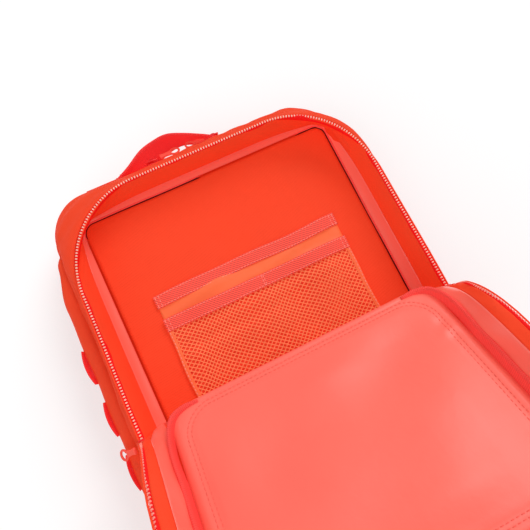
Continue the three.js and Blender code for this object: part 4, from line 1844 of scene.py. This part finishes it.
@dataclass
class Sliders(SubAssembly):
    """Zip sliders and their pulls."""


    def slider(self, name: str, centre: Point, along: Vector, up: Vector,
               length: float = 12.0) -> None:
        """One slider body with its wings, waist and bridge.

        Args:
            name: The CAD node and body that it stands for.
            centre: Its middle.
            along: The direction it slides in.
            up: The direction it faces.
            length: Its length.
        """
        def shape(point: Vector) -> Vector:
            """Narrows the tail and rounds the nose."""
            share = point.x / length + 0.5
            width = 1.0 - 0.34 * share**2
            return Vector((point.x, point.y * width, point.z))

        top = self.shop.block("top", (length, 9, 1.5), 0.6, shape, (0, 0, 2.0))
        low = self.shop.block("low", (length, 9, 1.3), 0.5, shape, (0, 0, -1.6))
        post = self.shop.block("post", (2.6, 2.2, 4.0), 0.4, at=(-length * 0.3, 0, 0))
        turn = np.linspace(0, math.pi, 14)
        arch = xyz(np.cos(turn) * length * 0.3, 0.0, 2.6 + np.sin(turn) * 2.2)
        bridge = strap_along(arch, (0, 1.0, 0), 2.6, 1.1).mesh("bridge", capped=True)
        bridge.transform(DATUM.matrix().inverted())
        mesh = Workshop.joined(name, [top, low, post, bridge])
        self.put(mesh, centre, along, up)
        self.add(name + "_body", mesh, self.look.plastic, name, body=name)

    @staticmethod
    def put(mesh: Mesh, centre: Point, along: Vector, up: Vector) -> None:
        """Moves a mesh from its own millimetres to its place."""
        ahead = along.normalized()
        level = (up - up.dot(ahead) * ahead).normalized()
        side = level.cross(ahead)
        turned = Matrix((ahead, side, level)).transposed().to_4x4()
        mesh.transform(DATUM.matrix() @ Matrix.Translation(Vector(centre)) @ turned)

    def pull(self, name: str, pivot: Point, along: Vector, up: Vector, length: float) -> None:
        """A cord loop pull with a moulded grip.

        Args:
            name: The CAD node and body that it stands for.
            pivot: Where it hangs on its slider.
            along: The direction from the pivot to its tip.
            up: The direction it faces.
            length: Its whole length.
        """
        eye = 4.7
        turn = np.linspace(-math.pi * 0.86, math.pi * 0.86, 26)
        ring = xyz(np.cos(turn) * eye + length - eye - 1.1, np.sin(turn) * eye, 0.0)
        neck = length - 2 * eye - 4.5
        loop = curve_through(np.vstack([[(neck, -1.2, 0)], ring, [(neck, 1.2, 0)]]), 64)
        cord = sweep(loop, UP, ring_section(1.15, 8)).mesh("cord", capped=True)
        cord.transform(DATUM.matrix().inverted())

        def shape(point: Vector) -> Vector:
            """Waists the grip."""
            waist = 1.0 - 0.14 * math.cos(point.x / 6.5 * math.pi)
            return Vector((point.x, point.y * waist, point.z))

        grip = self.shop.block("grip", (13.0, 5.6, 2.8), 0.9, shape, (9.8, 0, 0))
        for mesh, label, nodes in ((cord, "_cord", ()), (grip, "_grip", (name,))):
            self.put(mesh, pivot, along, up)
            self.add(name + label, mesh, self.look.cord, *nodes, body=name)

    def build(self) -> None:
        """Builds all six sliders and four pulls."""
        for side, label, lean in ((-1, "left", 0.82), (1, "right", 0.25)):
            self.slider(f"main_slider_{label}", (side * 160.5, -224, 40.4), Vector((0, 1, 0)), Vector(UP), 14)
            along = Vector((side * math.sin(lean), 0, -math.cos(lean)))
            self.pull(f"main_pull_{label}", (side * 167.5, -224, 38.5), along, Vector((side, 0, 0.4)), 27)
        for x, start, way, label in ((-46, -39.5, 1, "left"), (25, 18.5, -1, "right")):
            self.slider(f"rear_slider_{label}", (x, 32.2, 4), Vector((way, 0, 0)), Vector((0, 1, 0)))
            self.pull(f"rear_pull_{label}", (start, 35.2, 5.5), Vector((way, 0, 0)), Vector((0, 0.6, 1)), 26)
        face = Vector(DATUM.opened([0, 1, 0]) - DATUM.opened([0, 0, 0]))
        for name, up in (("lower_pocket_slider", Vector((0, 0.16, 1))), ("cover_pocket_slider", face)):
            self.slider(name, self.middle(name), Vector((1, 0, 0)), up)

    @staticmethod
    def middle(node: str) -> Array:
        """The middle of a CAD node, in millimetres from the seam origin."""
        low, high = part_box(node)
        return (np.array((low + high) / 2) - DATUM.origin) / METRES


# ---- handle, sides


@dataclass
class GrabHandle(SubAssembly):
    """The twisted webbing handle over the top of the pack."""

    def build(self) -> None:
        """Builds the webbing from its outer and inner edge, and sews its ends."""
        outer = curve_through([(-92, 26.0, 13), (-86, 28.2, 14), (-71, 35.5, 15), (-53, 46, 16),
                               (-36, 50.3, 17), (-21, 50.8, 18), (-5, 45, 18), (15, 34.6, 18), (30, 26.6, 16),
                               (44, 22.5, 14), (56, 21.0, 12)], 90)
        inner = curve_through([(-84, 30.4, -8), (-76, 31.0, -7), (-62, 31.4, -5), (-50, 32.2, -4),
                               (-38, 35.2, -4), (-21, 41.2, -4), (-7, 42.6, -4), (10, 37.6, -5),
                               (28, 32.0, -6), (42, 30.0, -7), (56, 28.8, -8)], 90)
        face = Sheet(between(outer, inner, 9))
        bow = np.sin(np.pi * np.linspace(0, 1, 9))[:, None] * 1.2
        strap = self.add("handle_webbing", face.raised(bow), self.look.webbing, "grab_handle",
                                body=None, thickness=2.2)
        start, end = DATUM.place(0, 28.5, 8), DATUM.place(0, 42, 8)
        tuple(start)
        tuple(end)
        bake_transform(strap)
        rows, facing = [], face.normals()[4]
        for at in (3, 6, 83, 86):
            across = outer[at] + (inner[at] - outer[at]) * np.linspace(0.08, 0.92, 14)[:, None]
            rows.append((across + facing[at] * 1.6, facing[at]))
        self.shop.thread("handle_bar_tacks", rows, slot=Slot.WEBBING, length=2.0, gap=0.5, width=1.0)


@dataclass
class Sides(SubAssembly):
    """The left side pocket and the rows of webbing loops."""


    def build(self) -> None:
        """Builds the pocket and the loops."""
        self.pocket()
        for side, label in ((-1, "left"), (1, "right")):
            for number in range(4):
                self.loop(side, f"webbing_{label}_{number + 1}")

    def pocket(self) -> None:
        """The soft pocket on the left side, puffed out with an elastic mouth."""
        plan = RoundedBox(17.5, -406, -22, 14, 9)
        across, y = plan.grid(2.8)
        far = -plan.distance(across, y)
        puff = np.sqrt(np.clip(1 - (1 - np.clip(far / 15, 0, 1)) ** 2, 0, 1))
        soft = Ripple(161, 0.7, 60)
        puff *= smooth_step(-y, 24, 78)
        out = 166 + 5.4 * smooth_step(-y, 22, 36) * smooth_step(far, 0, 3) + puff * (11.4 + soft(across, y))
        sheet = Sheet(xyz(-out, y, 4 + across)).flipped()
        made = self.add("side_pocket", sheet, self.look.shell, "side_pocket_left", thickness=1.2)

    def loop(self, side: int, node: str) -> None:
        """One bowed loop of webbing."""
        low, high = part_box(node)
        low, high = ((np.array(p) - DATUM.origin) / METRES for p in (low, high))
        middle, size = (low + high) / 2, high - low
        wall = (low[0] if side > 0 else high[0]) - side * 0.4
        y = np.linspace(low[1], high[1], 26)
        share = (y - middle[1]) / size[1]
        bow = (1 - (2 * np.abs(share)) ** 2) * (size[0] * 0.72 + 0.6)
        path = xyz(wall + side * bow, y, middle[2])
        strap = strap_along(path, UP, size[2], 1.5)
        self.add(node + "_loop", strap, self.look.webbing, node, capped=True)


# ---- back, pads and harness


@dataclass
class Pad:
    """A padded piece: a crowned closed form on a flat base."""

    plan: RoundedBox
    centre: float
    base: float
    crown: float
    edge: float = 9.0

    def mesh(self, name: str, step: float = 4.0) -> Mesh:
        """The closed mesh, its crown looking down."""
        x, y = self.plan.grid(step)
        far = np.clip(-self.plan.distance(x, y) / self.edge, 0, 1)
        round_edge = np.sqrt(np.clip(1 - (1 - far) ** 2, 0, 1))
        crown = self.base + (self.crown - self.base) * (0.12 + 0.88 * round_edge)
        top = Sheet(xyz(x + self.centre, y, crown)).flipped().mesh(name)
        low = Sheet(xyz(x + self.centre, y, self.base)).mesh(name)
        return closed_pair(name, top, low)


def closed_pair(name: str, top: Mesh, low: Mesh) -> Mesh:
    """Joins two sheets with the same outline into one closed mesh."""
    work = bmesh.new()
    work.from_mesh(top)
    work.from_mesh(low)
    rims = [edge for edge in work.edges if edge.is_boundary]
    bmesh.ops.bridge_loops(work, edges=rims)
    bmesh.ops.recalc_face_normals(work, faces=work.faces)
    mesh = bpy.data.meshes.new(name)
    work.to_mesh(mesh)
    work.free()
    return mesh


@dataclass
class BackSide(SubAssembly):
    """The back panel, its pads and the shoulder harness."""

    foam: float = -20.9

    def build(self) -> None:
        """Builds everything behind the compartment."""
        self.panel()
        self.pads()
        for side, label in ((-1, "left"), (1, "right")):
            self.harness(side, label)

    def panel(self) -> None:
        """The quilted cloth between the pads."""
        plan = RoundedBox(141, -425.5, 0.5, 14, 14)
        x, y = plan.grid(4)
        soft = Ripple(171, 0.4, 80)
        z = -20.6 + 0.4 * soft(x, y)
        sheet = Sheet(xyz(x, y, z)).flipped()
        self.add("back_cloth", sheet, self.look.shell, "back_foam", thickness=1.5)

    def pads(self) -> None:
        """Two back pads and the lumbar pad, filled and then sewn across."""
        places = [("back_pad_left", RoundedBox(44, -333, -54, 22, 22), -76, -31.0),
                  ("back_pad_right", RoundedBox(44, -333, -54, 22, 22), 76, -31.0),
                  ("lumbar_pad", RoundedBox(90, -416, -352, 24, 24), 0, -43.0)]
        for name, plan, centre, crown in places:
            mesh = Pad(plan, centre, self.foam, crown, 12 if name == "lumbar_pad" else 8).mesh(name)
            made = self.add(name + "_cushion", mesh, self.look.padding, name)
            self.shop.inflate(made, 3.0, 5.0)
            self.channels(made, plan)

    def channels(self, made: Thing, plan: RoundedBox) -> None:
        """Presses sewn channels across a pad."""
        points = np.array([v.co for v in made.data.vertices])
        design = (points - DATUM.origin) / METRES
        length = plan.high - plan.low
        rows = [plan.low + length * k / 4 for k in (1, 2, 3)] if length > 100 else []
        deep = np.clip((self.foam - design[:, 2]) / 11, 0, 1)
        for row in rows:
            design[:, 2] += 5.5 * deep * np.exp(-(((design[:, 1] - row) / 3.6) ** 2))
        if not rows:
            design[:, 2] += 6.5 * deep * np.exp(-((design[:, 0] / 4) ** 2))
        made.data.vertices.foreach_set("co", DATUM.metres(design).astype(np.float32).ravel())

    def spine(self, t: Array) -> tuple[Array, Array, Array]:
        """The shoulder strap's middle line and half width at a share of its length."""
        a, b, c, d = (np.array(p, float) for p in ((50, -19.5), (52, -110), (100, -150), (100, -300)))
        t = np.asarray(t, float)[..., None]
        place = a * (1 - t) ** 3 + 3 * b * t * (1 - t) ** 2 + 3 * c * t**2 * (1 - t) + d * t**3
        return place[..., 0], place[..., 1], 32 - 7 * t[..., 0]

    def harness(self, side: int, label: str) -> None:
        """One shoulder strap with its webbing, buckles and chest strap."""
        body = f"shoulder_{label}"
        s, t = np.meshgrid(np.linspace(-1, 1, 15), np.linspace(0, 1, 70))
        x, y, half = self.spine(t)
        inset = np.minimum(t * 280, (1 - t) * 280)
        trim = np.sqrt(np.clip(1 - np.clip(1 - inset / 14, 0, 1) ** 2, 0.02, 1))
        px = side * (x + s * (half - 1.5) * trim)
        puff = (1 - np.abs(s) ** 3.2) * trim
        top = Sheet(xyz(px, y, -38.6 + 4.6 * puff))
        low = Sheet(xyz(px, y, -39.8 - 4.6 * puff)).flipped()
        if side > 0:
            top, low = top.flipped(), low.flipped()
        name = f"shoulder_strap_{label}"
        made = self.add(name + "_pad", closed_pair(name, top.mesh(name), low.mesh(name)), self.look.padding,
                               name, body=body)
        self.shop.inflate(made, 3.0, 4.0)
        line = np.linspace(0.06, 1.03, 60)
        cx, cy, _ = self.spine(line)
        path = xyz(side * cx, cy, -46.0 + smooth_step(line, 0.9, 1.03) * 7.5)
        strap = strap_along(path, (1.0, 0, 0), 24, 1.6)
        self.add(f"strap_tape_{label}", strap, self.look.webbing, body=body, capped=True)
        self.buckles(side, label, body)

    def buckles(self, side: int, label: str, body: str) -> None:
        """The ladder lock, lower webbing, clip, anchor and chest strap of one side."""
        lock = self.shop.plate("lock", (-16, -12.5, 12.5, 16), (-10, -7, -3.5, -0.5, 3.5, 6.5, 10),
                               ((1, 1), (1, 3), (1, 4)), 4.2, 0.9)
        clip = self.shop.plate("clip", (-15, -12, 12, 15), (-11, -7.5, -3.5, 2, 11), ((1, 1),), 7.5, 1.4)
        anchor = self.shop.block("anchor", (33, 25, 12.8), 3.0)
        buckle = self.shop.block("buckle", (18, 18, 4.8), 1.5)
        end_body = f"strap_end_{label}"
        parts = (("ladder_lock_{}_frame", lock, (101, -311.5, -37.5), 0.12, body),
                 ("strap_clip_{}_frame", clip, (118, -395, -37), 0, end_body),
                 ("clip_anchor_{}_socket", anchor, (118, -419.6, -27.2), 0, Body.PACK),
                 ("chest_buckle_{}", buckle, (9.4, -111, -39.5), 0, body))
        for part, mesh, (x, y, z), lean, rides in parts:
            Sliders.put(mesh, (side * x, y, z), Vector((1, 0, 0)), Vector((0, lean, 1)))
            name = part.format(label)
            nodes = [] if mesh is buckle else [name.rpartition("_")[0]]
            self.add(name, mesh, self.look.plastic, *nodes, body=rides)
        turn = side * 0.24
        ahead = np.array([math.sin(turn), -math.cos(turn), 0.0])
        path = np.array([side * 102, -325, -37.0]) + ahead * np.linspace(2, 66, 40)[:, None]
        chest = xyz(side * np.linspace(47, 14, 30), -111.0, -40.0)
        node = f"strap_webbing_{label}"
        self.add(node + "_strap", strap_along(path, (1.0, 0, 0), 24, 1.8), self.look.webbing, node,
                 body=end_body, capped=True)
        self.add(f"chest_strap_{label}", strap_along(chest, (0, 1.0, 0), 12, 1.8), self.look.webbing,
                 f"sternum_strap_{label}", body=body, capped=True)


# ---- studio


@dataclass
class Studio:
    """The floor, the lamps and the camera."""

    focal: float = 33.97
    eye: tuple = (-57.3, -190.2, 512.4)
    right: tuple = (0.8964, -0.4389, 0.0623)
    up: tuple = (0.4216, 0.8875, 0.1860)
    sky: float = 0.36
    key: float = 1.75
    fill: float = 1.05
    floor_glow: float = 1.42
    floor_size: float = 12.0
    floor_gap: float = 0.6

    def build(self) -> None:
        """Sets up everything that isn't the backpack."""
        self.camera()
        self.floor()
        self.light()
        bpy.context.scene.view_settings.view_transform = "Standard"

    def camera(self) -> None:
        """The camera over the open compartment."""
        data = bpy.data.cameras.new("Camera")
        data.lens = self.focal
        data.sensor_width = 36.0
        data.clip_start, data.clip_end = 0.01, 50
        seen = bpy.data.objects.new("Camera", data)
        right = Vector(self.right).normalized()
        up = Vector(self.up)
        up = (up - up.dot(right) * right).normalized()
        turned = Matrix((right, up, right.cross(up))).transposed().to_4x4()
        seen.matrix_world = Matrix.Translation(DATUM.place(*self.eye)) @ turned
        bpy.context.scene.collection.objects.link(seen)
        bpy.context.scene.camera = seen

    def floor(self) -> None:
        """A white floor that keeps a soft shadow."""
        bpy.ops.object.select_all(action="DESELECT")
        bpy.ops.mesh.primitive_plane_add(size=self.floor_size,
                                       location=(0, 0, CAD_BOX[0].z - self.floor_gap * METRES))
        plane = bpy.context.object
        plane.name = "studio_floor"
        tree = Tree("studio floor")
        tree.set(Base_Color=(0.86, 0.86, 0.86), Roughness=0.9, Specular_IOR_Level=0.1)
        glow = tree.node("ShaderNodeEmission", {}, (1.0, 1.0, 1.0), self.floor_glow)
        tree.background(Value(tree, tree.shader.outputs[0]), glow, 0.36, 0.6)
        plane.data.materials.append(tree.material)

    def light(self) -> None:
        """An even sky and a large soft lamp from the upper right."""
        world = bpy.data.worlds.new("Studio")
        bpy.context.scene.world = world
        tree = Tree("sky", world)
        tree.set(Color=(1.0, 1.0, 1.0), Strength=self.sky)
        white = tree.node("ShaderNodeBackground", {}, (1.0, 1.0, 1.0), 1.0)
        tree.background(Value(tree, tree.shader.outputs[0]), white, 1.0, 1.0)
        for name, place, spread, power in (("Key", (700, 450, 800), 34, self.key),
                                           ("Fill", (-800, -650, 850), 60, self.fill)):
            data = bpy.data.lights.new(name, "SUN")
            data.angle = math.radians(spread)
            data.energy = power
            lamp = bpy.data.objects.new(name, data)
            lamp.location = DATUM.place(*place)
            aim = DATUM.place(0, -180, 20) - lamp.location
            lamp.rotation_euler = aim.to_track_quat("-Z", "Y").to_euler()
            bpy.context.scene.collection.objects.link(lamp)


def main() -> None:
    """Builds the backpack and its studio."""
    logging.basicConfig(level=logging.INFO, format="%(name)s %(message)s")
    bpy.ops.object.select_all(action="DESELECT")
    Studio().build()
    shop = Workshop()
    wall = BodyWall()
    Compartment(shop, wall).build()
    BodyZip(shop, wall).build()
    InnerPockets(shop).build()
    UpperCover(shop, CoverShape()).build()
    LowerFront(shop, wall).build()
    lower = [(-226, 5.6), (-262, 11.6), (-300, 28.6), (-350, 55.0), (-392, 52.0), (-410, 44.0)]
    BoxPocket(shop, "lower_pocket", RoundedBox(112, -409, -227, 26, 10), lower,
              lambda p: p + np.array([0, 0, 74.4]), Body.PACK, "lower_pocket", 181).build()
    upper = [(26, 5.0), (185, 38.5), (190, 36.0)]
    BoxPocket(shop, "cover_pocket", RoundedBox(108, 26, 190, 10, 26), upper, DATUM.opened, Body.COVER,
              "cover_pocket", 191).build()
    StraightZip(shop, "lower_pocket_zip", (-96, -256, 86.6), (96, -256, 86.6), (0, 0.165, 1), 9, Body.PACK,
                "lower_pocket_zip").build()
    ends = DATUM.opened(np.array([(-90, 191.2, 24), (90, 191.2, 24)]))
    face = DATUM.opened([0, 1, 0]) - DATUM.opened([0, 0, 0])
    StraightZip(shop, "cover_pocket_zip", ends[0], ends[1], face, 9, Body.COVER, "cover_pocket_zip").build()
    StraightZip(shop, "rear_zip", (-120, 30.2, 4), (120, 30.2, 4), (0, 1, 0), 9, Body.PACK,
                "rear_zip_track", 7.5).build()
    Sliders(shop).build()
    GrabHandle(shop).build()
    Sides(shop).build()
    BackSide(shop).build()


if __name__ == "__main__":
    main()
